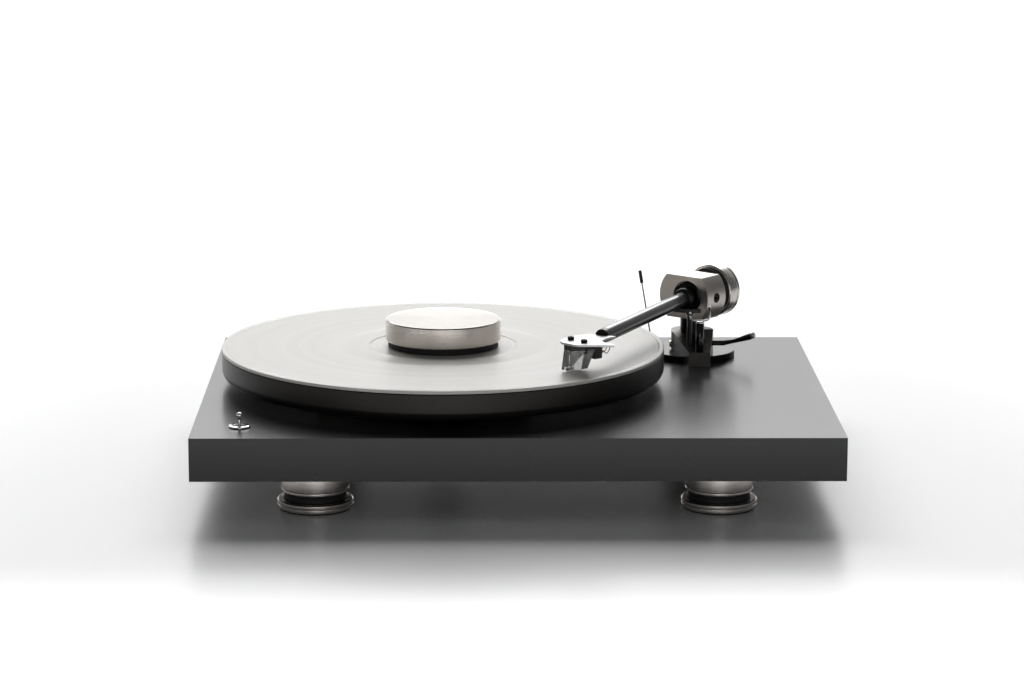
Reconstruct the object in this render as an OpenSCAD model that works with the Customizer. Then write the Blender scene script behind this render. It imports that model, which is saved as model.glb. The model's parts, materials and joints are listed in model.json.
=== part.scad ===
// Belt-drive turntable on a flat plinth, with a straight offset tonearm,
// a lift-off platter mat and a record puck.
// Origin: on the floor, under the centre of the plinth. +X right, +Y back, +Z up.

/* [Plinth] */
// Width of the plinth
plinth_w = 415; // [345:1:520]
// Depth of the plinth
plinth_d = 320; // [290:1:400]
// Thickness of the plinth
plinth_t = 28; // [26:1:40]
// Board left above the motor pocket
pocket_skin = 5; // [4:0.5:8]

/* [Feet] */
// Foot axis from the plinth's side edge
foot_inset_x = 77.5; // [60:0.5:90]
// Foot axis from the plinth's front or rear edge
foot_inset_y = 41; // [32:0.5:60]
// Diameter of the turned upper body
foot_body_d = 43.8; // [36:0.2:52]
// Height of the turned upper body
foot_body_h = 15.3; // [12:0.1:22]
// Height of the rubber damping ring
foot_damper_h = 4.6; // [3:0.1:8]
// Diameter of the base ring
foot_base_d = 49; // [40:0.5:58]
// Height of the base ring
foot_base_h = 6; // [4:0.1:10]
// Thickness of the pad underneath
foot_pad_h = 1.1; // [0.8:0.1:3]
// Diameter of the stud that screws into the plinth
foot_stud_d = 8; // [6:1:10]

/* [Platter] */
// Spindle left of the plinth's centre
spindle_left = 48.5; // [30:0.5:60]
// Spindle behind the plinth's centre
spindle_back = 13.1; // [0:0.1:20]
// Diameter of the platter
platter_d = 300; // [280:1:310]
// Height of the platter without its mat
platter_h = 18; // [16:0.5:26]
// Gap between the plinth and the platter
platter_gap = 5; // [5:0.5:9]
// Wall of the platter's skirt
platter_skirt = 18; // [12:1:24]
// Thickness of the platter over the sub-platter
platter_web = 6; // [5:0.5:9]
// Thickness of the mat
mat_t = 2; // [1.6:0.1:4]
// Diameter of the label recess in the mat
label_d = 100; // [95:1:104]
// Depth of the label recess
label_recess = 0.4; // [0.2:0.1:0.8]
// Diameter of the record pin
pin_d = 7.2; // [7:0.05:7.3]

/* [Drive] */
// Diameter of the sub-platter
subplatter_d = 120; // [110:1:140]
// Diameter of the pulley's running step
pulley_d = 12; // [11:0.1:16]
// Motor axis from the spindle
motor_reach = 85; // [82:0.5:100]
// Direction of the motor from the spindle, in degrees
motor_angle = 205; // [200:1:212]
// Diameter of the motor
motor_d = 40; // [34:0.5:42]
// Height of the flat belt
belt_h = 4; // [3:0.5:5]
// Thickness of the belt
belt_t = 0.7; // [0.5:0.1:1]
// Diameter of the main bearing's shaft
shaft_d = 10; // [8:0.5:11]
// Running clearance of the shafts
run_gap = 0.03; // [0.02:0.01:0.05]

/* [Puck] */
// Diameter of the puck
puck_d = 78; // [70:0.5:86]
// Height of the puck's metal body
puck_h = 14.7; // [10:0.1:24]
// Height of the base ring under the metal
puck_base_h = 3.8; // [2.5:0.1:5]

/* [Tonearm place] */
// Distance from the spindle to the arm pivot
mount_distance = 194.7; // [190:0.1:205]
// Direction of the arm pivot from the spindle, in degrees
mount_angle = 25.85; // [22:0.05:30]
// Height of the arm tube's axis above the plinth
arm_height = 43.3; // [42:0.1:50]
// Heading of the tube at rest, clockwise from straight back
tube_heading = 25.15; // [20:0.05:30]
// Turn of the bearing block away from the tube
block_offset = 15.35; // [10:0.05:20]
// Turn of the cartridge away from the tube
head_offset = 23.85; // [20:0.05:26]

/* [Tonearm] */
// Diameter of the arm tube
tube_d = 10; // [8:0.1:11]
// Pivot to the end of the tube
tube_reach = 160; // [155:0.5:175]
// Pivot to the cartridge screws, along the tube
head_reach = 190.35; // [186:0.05:205]
// Cartridge screws left of the tube's axis
head_shift = 6.65; // [4:0.05:8]
// Diameter of the bearing block
block_d = 42; // [38:0.5:46]
// Length of the bearing block
block_l = 21.2; // [18:0.1:26]
// Block's flat top above the tube's axis
block_top = 14.7; // [13:0.1:17]
// Block's flat underside below the tube's axis
block_under = 15.5; // [14:0.1:17]
// Diameter of the hole through the block
block_bore_d = 23; // [21:0.2:24]
// Diameter of the counterweight
weight_d = 37.4; // [32:0.2:42]
// Length of the counterweight
weight_l = 12; // [9:0.5:18]
// Pivot to the counterweight's front face
weight_reach = 19.5; // [17:0.5:24]
// Diameter of the threaded stub
stub_d = 9; // [7:0.5:10]

/* [Arm stand] */
// Diameter of the base disc
base_d = 60; // [56:0.5:70]
// Height of the base disc
base_h = 4.5; // [3:0.1:8]
// Width of the arm mount around the pillar
mount_w = 29.7; // [27:0.1:34]
// Arm mount's nose in front of the pivot
nose_reach = 41; // [40:0.5:48]
// Width of the nose
nose_w = 14.9; // [12:0.1:18]
// Top of the nose above the plinth
nose_h = 9.8; // [8:0.1:12]
// Top of the arm mount above the plinth
mount_h = 18.2; // [16:0.1:20]
// Diameter of the pillar
pillar_d = 17; // [15:0.5:19]
// Diameter of the arm-rest post
post_d = 5.6; // [4:0.1:7]
// Top of the arm-rest post above the plinth
post_top = 29.5; // [27:0.1:31]
// Inner width of the rest clip
clip_w = 13.6; // [12.5:0.1:15]
// Wire diameter of the rest clip
clip_wire = 1.2; // [0.8:0.1:1.6]
// Swing from rest to the clip, in degrees
park_swing = 29.07; // [27:0.01:31]

/* [Switch] */
// Switch from the plinth's left edge
switch_inset_x = 30; // [24:0.5:40]
// Switch from the plinth's front edge
switch_inset_y = 32.2; // [26:0.2:45]
// Diameter of the dress nut
switch_nut_d = 14; // [12:0.5:18]
// Top of the lever above the plinth
switch_lever_top = 9.6; // [8:0.1:16]

/* [Terminals] */
// Terminals right of the plinth's centre
terminal_x = 60; // [40:1:80]
// Width of the terminal recess
terminal_w = 70; // [66:1:90]
// Depth of the terminal recess from the rear edge
terminal_d = 22; // [20:0.5:30]
// Board left above the terminal recess
terminal_skin = 10; // [6:0.5:12]
// Outer diameter of a phono socket's barrel
phono_d = 8.3; // [8.2:0.05:8.4]

/* [Hidden] */
$fn = 96;

// Levels
foot_h = foot_body_h + foot_damper_h + foot_base_h + foot_pad_h;
under_z = foot_h;
top_z = under_z + plinth_t;
eps = 0.01;
cut = 1;

// Feet
foot_x = plinth_w / 2 - foot_inset_x;
foot_y = plinth_d / 2 - foot_inset_y;
foot_damper_d = foot_body_d - 2.6;
foot_socket_h = 10;
stud_grip = 14;
edge = 0.6;

// Platter and main bearing
spindle_x = -spindle_left;
spindle_y = spindle_back;
platter_z = top_z + platter_gap;
web_z = platter_z + platter_h - platter_web;
mat_z = platter_z + platter_h;
mat_top = mat_z + mat_t;
pin_top = mat_top + 14;
platter_step = 0.5;
hub_d = 40;
ring_out_d = subplatter_d - 8;
ring_in_d = subplatter_d - 40;
subplatter_z = platter_z + 1.5;
rim_top = web_z - 2.5;
rim_web_t = 2.5;
housing_d = 24;
housing_flange_d = 40;
housing_flange_h = 3;
housing_floor = under_z - 15;
housing_floor_t = 3;
housing_bore_d = shaft_d + 4;
bush_l = 10;
ball_d = 6;
shaft_z = housing_floor + housing_floor_t + ball_d;
nut_h = 5;
nut_d = 36;

// Drive
motor_x = spindle_x + motor_reach * cos(motor_angle);
motor_y = spindle_y + motor_reach * sin(motor_angle);
pocket_top = top_z - pocket_skin;
cover_t = 2;
cover_lip = 5.5;
cover_play = 0.2;
cover_extra = 2 * (cover_lip - cover_play);
pocket_half = motor_d / 2 + 4;
cover_edge = cover_play - pocket_half - cover_lip;
pocket_right = 52;
motor_plate_t = 2;
motor_plate_d = motor_d + 4;
motor_plate_z = pocket_top - motor_plate_t;
motor_base_z = under_z + cover_t + 0.8;
motor_shaft_d = 2;
motor_shaft_hole_d = 10;
plate_screw_reach = motor_d / 2 + 0.4;
plate_screw_turns = [30, 150, 270];
belt_z = subplatter_z + 1.5;
belt_gap = 0.08;
pulley_top = web_z - 1.5;
pulley_flange_d = pulley_d + 2.4;
pulley_cap = 2;
speed_step = 45 / 33.333;
board_w = 24;
board_l = 40;
board_t = 1.6;
board_z = pocket_top - 8;
board_x = motor_x + 37;
screw_d = 3;
screw_l = 6;
screw_head_d = 5.5;
screw_head_h = 1.7;

// Puck
puck_r = puck_d / 2;
puck_seat = mat_top - label_recess + 0.1;
puck_metal_z = puck_seat + puck_base_h;
puck_bore_d = pin_d + 0.3;
puck_edge = 0.8;

// Tonearm
pivot_x = spindle_x + mount_distance * cos(mount_angle);
pivot_y = spindle_y + mount_distance * sin(mount_angle);
arm_z = top_z + arm_height;
block_heading = tube_heading + block_offset;
gimbal_d = block_bore_d - 2.4;
gimbal_front = 9;
gimbal_back = 7.5;
sleeve_d = 14.6;
sleeve_reach = 19.6;
tube_wall = 0.8;
collar_l = 5;
collar_nose = 12;
plate_t = 1.4;
plate_under = 0.3;
stylus_gap = 0.3;
stylus_ahead = 9.5;
screw_pitch = 12.7;
point_screw_d = 7;
point_gap = 0.15;
point_face_gap = 0.3;
screw_sunk = 0.5;
point_end = gimbal_d / 2 / cos(block_offset) + point_gap;
point_face = (gimbal_d / 2 + point_screw_d / 2 * sin(block_offset) + point_face_gap) / cos(block_offset);
weight_floor = 2.5;
stub_end = weight_reach + weight_l - weight_floor - 2.5;
damper_d = weight_d - 5;

// Cartridge, measured from its screws: forward, across and down from the plate
cart_front = 8.9;
cart_rear = 14.2;
cart_half = 8.5;
cart_body_h = 3.6;
cart_z = arm_z - plate_under;
holder_nose_half = 3.4;
holder_chamfer = 7.9;
holder_foot = 2;
holder_rear = 7.5;
holder_floor = mat_top + 1.3;
stylus_z = mat_top + stylus_gap - arm_z;

// Arm stand
mount_bore_d = pillar_d;
clamp_head_d = 4.6;
clamp_head_h = 1.8;
pillar_top = arm_z - block_under - 0.4;
pillar_foot = top_z + base_h;
race_h = 5;
race_d = 13;
spindle_rod_d = 8;
post_reach = 38.1;
post_angle = 270 - tube_heading + park_swing;
post_grip = 6;
nose_shift = 2.35;
cue_y = -10;
cue_z = top_z + 10.4;
cue_d = 3.5;
cue_start = 6;
cue_bend = 22.3;
cue_gap = 0.08;
cue_neck = [cue_bend + 6, -3.6, 2];
cue_end = [cue_bend + 16, -10, 6.3];
cue_end_turn = [0, 65, -30];
cue_tip_d = 4.4;
cue_collar_l = 2;
bar_in = 25.5;
bar_out = 28.5;
bar_t = 2.6;
bar_from = 222;
bar_to = 278;
bar_gap = 0.3;
bar_top = arm_z - tube_d / 2 - bar_gap;
piston_d = 3.6;
piston_angle = 262;
piston_reach = (bar_in + bar_out) / 2;
piston_z = top_z + base_h + 1.2;
prong_tip_d = 1.9;
inner_prong_top = arm_z - tube_d / 2 - 0.4;
outer_prong_top = arm_z - 1.5;
clip_floor = top_z + post_top + 2.2;
stalk_foot = [-27.4, 2, base_h - 2];
stalk_top = [-37, 5, 58.6];
stalk_d = 1;
stalk_tip_d = 2.4;
stalk_tip_l = 9;

// Switch
switch_x = switch_inset_x - plinth_w / 2;
switch_y = switch_inset_y - plinth_d / 2;
switch_pocket = 18;
switch_skin = 4;
switch_bush_d = 6;
switch_pivot = 0.9;
switch_ball_d = 3;

// Terminals
terminal_y = plinth_d / 2;
terminal_h = plinth_t - terminal_skin;
terminal_z = under_z + terminal_h / 2 + 0.4;
terminal_plate_t = 2;
terminal_inset = 3.2;
terminal_face = terminal_y - terminal_d + 6;
phono_x = [-24, -9];
phono_l = 9;
ground_x = 5;
dc_x = 20;
dc_w = 14;
dc_h = 11;
dc_bore_d = 6.4;
dc_pin_d = 2.1;

// ---------------------------------------------------------------- helpers

// A turned disc with a small chamfer on its upper and lower edge
module turned(d, h, c = edge) {
    rotate_extrude()
        polygon([[0, 0], [d / 2 - c, 0], [d / 2, c], [d / 2, h - c], [d / 2 - c, h], [0, h]]);
}

module ring(d_out, d_in, h) {
    difference() {
        cylinder(d = d_out, h = h);
        translate([0, 0, -cut]) cylinder(d = d_in, h = h + 2 * cut);
    }
}

module at_feet() {
    for (sx = [-1, 1], sy = [-1, 1]) {
        translate([sx * foot_x, sy * foot_y, 0]) children();
    }
}

module at_spindle(z = 0) {
    translate([spindle_x, spindle_y, z]) children();
}

module at_motor(z = 0) {
    translate([motor_x, motor_y, z]) children();
}

module at_pivot(z = 0) {
    translate([pivot_x, pivot_y, z]) children();
}

module at_post(z = 0) {
    at_pivot(z) rotate(post_angle) translate([post_reach, 0, 0]) rotate(90) children();
}

// Frame of the tube: the headshell lies along -Y, the height is the tube's axis
module arm_frame() {
    at_pivot(arm_z) rotate(-tube_heading) children();
}

// Frame of the bearing block and the counterweight
module block_frame() {
    at_pivot(arm_z) rotate(-block_heading) children();
}

// Frame of the cartridge: its screws' mid point, the stylus lies along -Y
module head_frame() {
    arm_frame() translate([-head_shift, -head_reach, 0]) rotate(-head_offset) children();
}

// A rod between two points
module rod(a, b, d) {
    v = b - a;
    l = norm(v);
    translate(a) rotate([0, acos(v[2] / l), atan2(v[1], v[0])]) cylinder(d = d, h = l);
}

// A machine screw, its head's underside at the origin and its shank along +Z
module machine_screw() {
    difference() {
        union() {
            translate([0, 0, -screw_head_h]) turned(screw_head_d, screw_head_h, 0.4);
            cylinder(d = screw_d, h = screw_l);
        }
        translate([0, 0, -screw_head_h - eps]) cylinder(d = 2.3, h = 1.1, $fn = 6);
    }
}

module screw_holes() {
    at_cover_screws() cylinder(d = screw_d, h = screw_l + cut);
}

module at_cover_screws() {
    for (x = [-pocket_half - 2.7, pocket_right + 2.7], y = [-1, 1] * (pocket_half + 2.7)) {
        at_motor(under_z + cover_t) translate([x, y, 0]) children();
    }
}

module at_plate_screws() {
    for (a = plate_screw_turns) {
        at_motor(motor_plate_z) rotate(a) translate([plate_screw_reach, 0, 0]) children();
    }
}

module at_board_screws() {
    for (y = [-1, 1] * (board_l / 2 - 3.4)) {
        translate([board_x, motor_y + y, board_z]) children();
    }
}

module at_terminal_screws() {
    for (x = [-1, 1] * (terminal_w / 2 - terminal_inset)) {
        translate([terminal_x + x, terminal_face, terminal_z]) rotate([90, 0, 0]) children();
    }
}

module at_base_screws() {
    for (a = [30, 150, 270]) {
        at_pivot(top_z) rotate(a) translate([22, 0, 0]) children();
    }
}

// ---------------------------------------------------------------- plinth

module plinth() {
    color([0.07, 0.07, 0.075])
    difference() {
        translate([-plinth_w / 2, -plinth_d / 2, under_z]) cube([plinth_w, plinth_d, plinth_t]);
        at_feet() translate([0, 0, under_z - cut]) cylinder(d = foot_stud_d, h = stud_grip + cut);
        at_spindle(under_z - cut) cylinder(d = housing_d, h = plinth_t + 2 * cut);
        motor_pocket();
        switch_pocket();
        terminal_pocket();
        at_pivot(under_z - cut) cylinder(d = 20, h = plinth_t + 2 * cut);
        at_base_screws() translate([0, 0, -plinth_t - cut]) {
            cylinder(d = screw_d, h = plinth_t + 2 * cut);
            cylinder(d = 7, h = plinth_t - 4 + cut);
        }
    }
}

module motor_pocket() {
    at_motor() {
        translate([-pocket_half, -pocket_half, under_z - cut])
            cube([pocket_half + pocket_right, 2 * pocket_half, pocket_top - under_z + cut]);
        translate([-pocket_half - cover_lip, -pocket_half - cover_lip, under_z - cut])
            cube([pocket_half + pocket_right + 2 * cover_lip, 2 * (pocket_half + cover_lip), cover_t + cut]);
        translate([0, 0, pocket_top - cut]) cylinder(d = motor_shaft_hole_d, h = pocket_skin + 2 * cut);
    }
    screw_holes();
    at_plate_screws() translate([0, 0, motor_plate_t - cut])
        cylinder(d = screw_d, h = screw_l - motor_plate_t + cut + eps);
}

module switch_pocket() {
    translate([switch_x, switch_y, 0]) {
        translate([-switch_pocket / 2, -switch_pocket / 2, under_z - cut])
            cube([switch_pocket, switch_pocket, plinth_t - switch_skin + cut]);
        translate([0, 0, top_z - switch_skin - cut]) cylinder(d = switch_bush_d, h = switch_skin + 2 * cut);
    }
}

module terminal_pocket() {
    translate([terminal_x - terminal_w / 2, terminal_y - terminal_d, under_z - cut])
        cube([terminal_w, terminal_d + cut, terminal_h + cut]);
    translate([terminal_x + dc_x - 9, terminal_y - terminal_d - 12, under_z - cut])
        cube([18, 14, terminal_h + cut]);
}

// ---------------------------------------------------------------- feet

module foot_studs() {
    color([0.6, 0.6, 0.62])
    at_feet() translate([0, 0, under_z - foot_socket_h])
        turned(foot_stud_d, foot_socket_h + stud_grip, 0.5);
}

module foot_bodies() {
    color([0.62, 0.6, 0.58])
    at_feet() translate([0, 0, under_z - foot_body_h]) difference() {
        turned(foot_body_d, foot_body_h);
        translate([0, 0, foot_body_h - foot_socket_h]) cylinder(d = foot_stud_d, h = foot_socket_h + cut);
    }
}

module foot_dampers() {
    color([0.05, 0.05, 0.05])
    at_feet() translate([0, 0, foot_pad_h + foot_base_h]) cylinder(d = foot_damper_d, h = foot_damper_h);
}

module foot_bases() {
    color([0.6, 0.58, 0.56])
    at_feet() translate([0, 0, foot_pad_h]) turned(foot_base_d, foot_base_h, 0.8);
}

module foot_pads() {
    color([0.05, 0.05, 0.05])
    at_feet() cylinder(d = foot_base_d - 3, h = foot_pad_h);
}

// ---------------------------------------------------------------- main bearing

module bearing_housing() {
    color([0.7, 0.68, 0.64])
    at_spindle() difference() {
        union() {
            translate([0, 0, housing_floor]) cylinder(d = housing_d, h = top_z - housing_floor);
            translate([0, 0, top_z]) turned(housing_flange_d, housing_flange_h, 0.5);
        }
        translate([0, 0, housing_floor + housing_floor_t])
            cylinder(d = housing_bore_d, h = plinth_t + foot_h);
    }
}

module bearing_bushes() {
    color([0.8, 0.62, 0.3])
    for (z = [top_z + housing_flange_h - bush_l, shaft_z + 2]) {
        at_spindle(z) ring(housing_bore_d, shaft_d + 2 * run_gap, bush_l);
    }
}

module thrust_ball() {
    color([0.8, 0.8, 0.82])
    at_spindle(housing_floor + housing_floor_t + ball_d / 2) sphere(d = ball_d);
}

module housing_nut() {
    color([0.6, 0.6, 0.62])
    at_spindle(under_z - nut_h) difference() {
        cylinder(d = nut_d, h = nut_h, $fn = 6);
        translate([0, 0, -cut]) cylinder(d = housing_d, h = nut_h + 2 * cut);
    }
}

// ---------------------------------------------------------------- drive

module motor_can() {
    color([0.55, 0.55, 0.58])
    at_motor(motor_base_z) difference() {
        turned(motor_d, motor_plate_z - motor_base_z, 1);
        translate([0, 0, 4]) cylinder(d = motor_shaft_d + 2 * run_gap, h = plinth_t);
        for (a = plate_screw_turns) {
            rotate(a) translate([plate_screw_reach, 0, -cut])
                cylinder(d = screw_head_d + 0.8, h = plinth_t);
        }
    }
}

module motor_plate() {
    color([0.7, 0.7, 0.72])
    difference() {
        at_motor(motor_plate_z) difference() {
            cylinder(d = motor_plate_d + 2, h = motor_plate_t);
            translate([0, 0, -cut]) cylinder(d = motor_shaft_d + 2, h = motor_plate_t + 2 * cut);
        }
        at_plate_screws() translate([0, 0, -cut]) cylinder(d = screw_d, h = motor_plate_t + 2 * cut);
    }
}

module motor_shaft() {
    color([0.8, 0.8, 0.82])
    at_motor(motor_base_z + 4.5)
        cylinder(d = motor_shaft_d, h = pulley_top - pulley_cap - motor_base_z - 4.5);
}

module pulley() {
    color([0.8, 0.65, 0.32])
    at_motor() difference() {
        union() {
            translate([0, 0, belt_z - 1.4]) turned(pulley_flange_d, 1, 0.2);
            translate([0, 0, belt_z - 0.4]) cylinder(d = pulley_d, h = belt_h + 0.8);
            translate([0, 0, belt_z + belt_h + 0.4])
                cylinder(d = pulley_d * speed_step, h = pulley_top - belt_z - belt_h - 0.4);
        }
        translate([0, 0, belt_z - 2]) cylinder(d = motor_shaft_d, h = pulley_top - pulley_cap - belt_z + 2);
    }
}

// The belt's outline grown outwards by t
module belt_outline(t) {
    hull() {
        translate([spindle_x, spindle_y]) circle(r = subplatter_d / 2 + belt_gap + t, $fn = 240);
        translate([motor_x, motor_y]) circle(r = pulley_d / 2 + belt_gap + t, $fn = 96);
    }
}

module drive_belt() {
    color([0.12, 0.11, 0.1])
    translate([0, 0, belt_z]) linear_extrude(belt_h) difference() {
        belt_outline(belt_t);
        belt_outline(0);
    }
}

module circuit_board() {
    color([0.1, 0.35, 0.2])
    difference() {
        union() {
            translate([board_x - board_w / 2, motor_y - board_l / 2, board_z])
                cube([board_w, board_l, board_t]);
            translate([board_x - 8, motor_y - 9, board_z - 6]) cube([9, 12, 6]);
            translate([board_x + 5, motor_y + 5, board_z - 8]) cylinder(d = 8, h = 8);
            at_board_screws() translate([0, 0, board_t]) cylinder(d = 6, h = pocket_top - board_z - board_t);
        }
        at_board_screws() translate([0, 0, -cut]) cylinder(d = screw_d, h = screw_l + 2 * cut);
    }
}

module bottom_cover() {
    color([0.1, 0.1, 0.1])
    difference() {
        at_motor(under_z) translate([cover_edge, cover_edge, 0])
            cube([pocket_half + pocket_right + cover_extra, 2 * pocket_half + cover_extra, cover_t]);
        at_cover_screws() translate([0, 0, -cover_t - cut]) {
            cylinder(d = screw_d, h = cover_t + 2 * cut);
            cylinder(d = screw_head_d + 0.2, h = screw_head_h + cut);
        }
    }
}

module panel_screws() {
    color([0.65, 0.65, 0.67]) {
        at_cover_screws() translate([0, 0, screw_head_h - cover_t]) machine_screw();
        at_plate_screws() machine_screw();
        at_board_screws() machine_screw();
        at_terminal_screws() translate([0, 0, -terminal_plate_t]) machine_screw();
    }
}

// ---------------------------------------------------------------- switch

module toggle_body() {
    color([0.12, 0.12, 0.14])
    translate([switch_x, switch_y, 0]) difference() {
        union() {
            translate([-6.5, -6.5, top_z - switch_skin - 13]) cube([13, 13, 13]);
            translate([0, 0, top_z - switch_skin]) cylinder(d = switch_bush_d, h = switch_skin + 1);
            for (x = [-4, 0, 4]) {
                translate([x - 0.4, -1.1, top_z - switch_skin - 17.5]) cube([0.8, 2.2, 5]);
            }
        }
        translate([0, 0, top_z - 2]) cylinder(d = 4.6, h = 2 + 1 + cut);
    }
}

module toggle_nut() {
    color([0.85, 0.85, 0.86])
    translate([switch_x, switch_y, top_z]) rotate_extrude() polygon([
        [switch_bush_d / 2, 0], [switch_nut_d / 2 - 0.2, 0], [switch_nut_d / 2, 0.3],
        [switch_nut_d / 2, 0.9], [switch_nut_d / 2 - 0.7, 1.4],
        [switch_bush_d / 2 + 0.9, 1.1], [switch_bush_d / 2, 1.1]
    ]);
}

module toggle_lever() {
    color([0.86, 0.86, 0.88])
    translate([switch_x, switch_y, top_z]) {
        rotate_extrude() polygon([
            [0, switch_pivot], [0.85, switch_pivot], [1.15, switch_lever_top - 3.4],
            [1.25, switch_lever_top - 2.2], [0, switch_lever_top - 2.2]
        ]);
        translate([0, 0, switch_lever_top - 1.8]) sphere(d = 3.6);
        translate([0, 0, switch_pivot]) sphere(d = switch_ball_d);
    }
}

// ---------------------------------------------------------------- terminals

module terminal_plate() {
    color([0.16, 0.16, 0.17])
    difference() {
        translate([terminal_x - terminal_w / 2, terminal_face, under_z + 0.5])
            cube([terminal_w, terminal_plate_t, terminal_h - 0.5]);
        at_terminal_screws() translate([0, 0, -terminal_plate_t - cut])
            cylinder(d = screw_d, h = terminal_plate_t + 2 * cut);
        at_terminals(phono_x) cylinder(d = 6, h = 4 * cut);
        at_terminals([ground_x]) cylinder(d = 4, h = 4 * cut);
        at_terminals([dc_x]) cylinder(d = dc_bore_d + 1.6, h = 4 * cut);
    }
    color([0.16, 0.16, 0.17])
    difference() {
        for (x = [-1, 1] * (terminal_w / 2 - terminal_inset)) {
            translate([terminal_x + x - terminal_inset, terminal_y - terminal_d, under_z + 0.5])
                cube([2 * terminal_inset, terminal_face - terminal_y + terminal_d, terminal_h - 0.5]);
        }
        at_terminal_screws() cylinder(d = screw_d, h = screw_l - terminal_plate_t);
    }
}

// Places on the terminal plate, each pointing out to the rear
module at_terminals(xs) {
    for (x = xs) {
        translate([terminal_x + x, terminal_face + terminal_plate_t + cut, terminal_z])
            rotate([90, 0, 0]) children();
    }
}

// The same places with +Z pointing out to the rear from the plate's face
module on_terminals(xs) {
    for (x = xs) {
        translate([terminal_x + x, terminal_face + terminal_plate_t, terminal_z])
            rotate([-90, 0, 0]) children();
    }
}

module phono_barrels() {
    color([0.83, 0.65, 0.3])
    on_terminals(phono_x) difference() {
        union() {
            cylinder(d = phono_d, h = phono_l);
            rotate(30) cylinder(d = phono_d + 1.7, h = 2, $fn = 6);
            translate([0, 0, -terminal_plate_t - 3]) cylinder(d = 6, h = terminal_plate_t + 3);
        }
        translate([0, 0, -terminal_plate_t - 3 - cut]) cylinder(d = 4.4, h = phono_l + 6 + 2 * cut);
        translate([0, 0, 1]) cylinder(d = 6.6, h = phono_l);
    }
}

module phono_insulators() {
    color([0.75, 0.75, 0.72])
    on_terminals(phono_x) difference() {
        union() {
            translate([0, 0, -terminal_plate_t - 3]) cylinder(d = 4.4, h = terminal_plate_t + 4);
            translate([0, 0, 1]) cylinder(d = 6.6, h = 3);
        }
        translate([0, 0, -1]) cylinder(d = 3.2, h = 6);
    }
}

module ground_post() {
    color([0.8, 0.66, 0.35])
    on_terminals([ground_x]) {
        translate([0, 0, -terminal_plate_t - 3]) cylinder(d = 4, h = terminal_plate_t + 3 + 10);
        cylinder(d = 8, h = 1);
    }
}

module dc_socket() {
    color([0.08, 0.08, 0.08])
    on_terminals([dc_x]) {
        difference() {
            union() {
                translate([-dc_w / 2, -dc_h / 2, -terminal_plate_t - 11]) cube([dc_w, dc_h, 11]);
                translate([0, 0, -terminal_plate_t]) cylinder(d = dc_bore_d + 1.6, h = terminal_plate_t + 1);
            }
            translate([0, 0, -9]) cylinder(d = dc_bore_d, h = 12);
        }
        translate([0, 0, -9 - eps]) cylinder(d = dc_pin_d, h = 8.5);
    }
}

// ---------------------------------------------------------------- platter

module spindle() {
    color([0.82, 0.82, 0.84])
    at_spindle() rotate_extrude() polygon([
        [0, shaft_z], [shaft_d / 2 - 0.6, shaft_z], [shaft_d / 2, shaft_z + 0.6],
        [shaft_d / 2, mat_z], [pin_d / 2, mat_z], [pin_d / 2, pin_top - 2.4],
        [pin_d / 2 - 1.6, pin_top], [0, pin_top]
    ]);
}

module subplatter() {
    color([0.16, 0.16, 0.17])
    at_spindle() rotate_extrude() polygon([
        [shaft_d / 2, subplatter_z], [hub_d / 2, subplatter_z], [hub_d / 2, rim_top - rim_web_t],
        [ring_out_d / 2, rim_top - rim_web_t], [ring_out_d / 2, subplatter_z],
        [subplatter_d / 2, subplatter_z], [subplatter_d / 2, rim_top], [ring_out_d / 2, rim_top],
        [ring_out_d / 2, web_z], [ring_in_d / 2, web_z], [ring_in_d / 2, rim_top],
        [hub_d / 2, rim_top], [hub_d / 2, web_z], [shaft_d / 2, web_z]
    ]);
}

module platter() {
    r = platter_d / 2;
    low = 4.6;
    color([0.1, 0.09, 0.085])
    at_spindle() rotate_extrude() polygon([
        [shaft_d / 2, web_z], [r - platter_skirt, web_z], [r - platter_skirt, platter_z],
        [r - low, platter_z], [r - low * 0.6, platter_z + 0.7], [r - low * 0.22, platter_z + 2.4],
        [r, platter_z + low + 0.4], [r, mat_z - platter_step], [r - platter_step, mat_z],
        [shaft_d / 2, mat_z]
    ]);
}

module platter_mat() {
    r = platter_d / 2;
    color([0.87, 0.86, 0.83])
    at_spindle() rotate_extrude() polygon([
        [pin_d / 2, mat_z], [r - 0.3, mat_z], [r, mat_z + 0.3], [r, mat_top - 0.3], [r - 0.3, mat_top],
        [label_d / 2, mat_top], [label_d / 2 - label_recess, mat_top - label_recess],
        [pin_d / 2, mat_top - label_recess]
    ]);
}

// ---------------------------------------------------------------- puck

module puck_body() {
    color([0.62, 0.59, 0.57])
    at_spindle(puck_metal_z) difference() {
        turned(puck_d, puck_h, puck_edge);
        translate([0, 0, -cut]) cylinder(d = puck_bore_d, h = pin_top - puck_metal_z + 1 + cut);
    }
}

module puck_base() {
    color([0.05, 0.05, 0.05])
    at_spindle(puck_seat) ring(puck_d - 3, puck_bore_d, puck_base_h);
}

// ---------------------------------------------------------------- arm stand

module arm_base() {
    color([0.1, 0.1, 0.1])
    at_pivot(top_z) difference() {
        union() {
            turned(base_d, base_h, 0.5);
            translate([0, 0, 2 - plinth_t]) cylinder(d = 20, h = plinth_t);
        }
        translate([0, 0, 1 - plinth_t]) cylinder(d = 12, h = plinth_t - 3);
        for (a = [30, 150, 270]) {
            rotate(a) translate([22, 0, -cut]) cylinder(d = screw_d, h = 2.6 + cut);
        }
        rod(stalk_foot, stalk_top, stalk_d);
    }
}

module arm_base_screws() {
    color([0.65, 0.65, 0.67])
    at_base_screws() translate([0, 0, -4]) {
        difference() {
            translate([0, 0, -screw_head_h]) turned(screw_head_d, screw_head_h, 0.4);
            translate([0, 0, -screw_head_h - eps]) cylinder(d = 2.3, h = 1.1, $fn = 6);
        }
        cylinder(d = screw_d, h = 6.2);
    }
}

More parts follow.
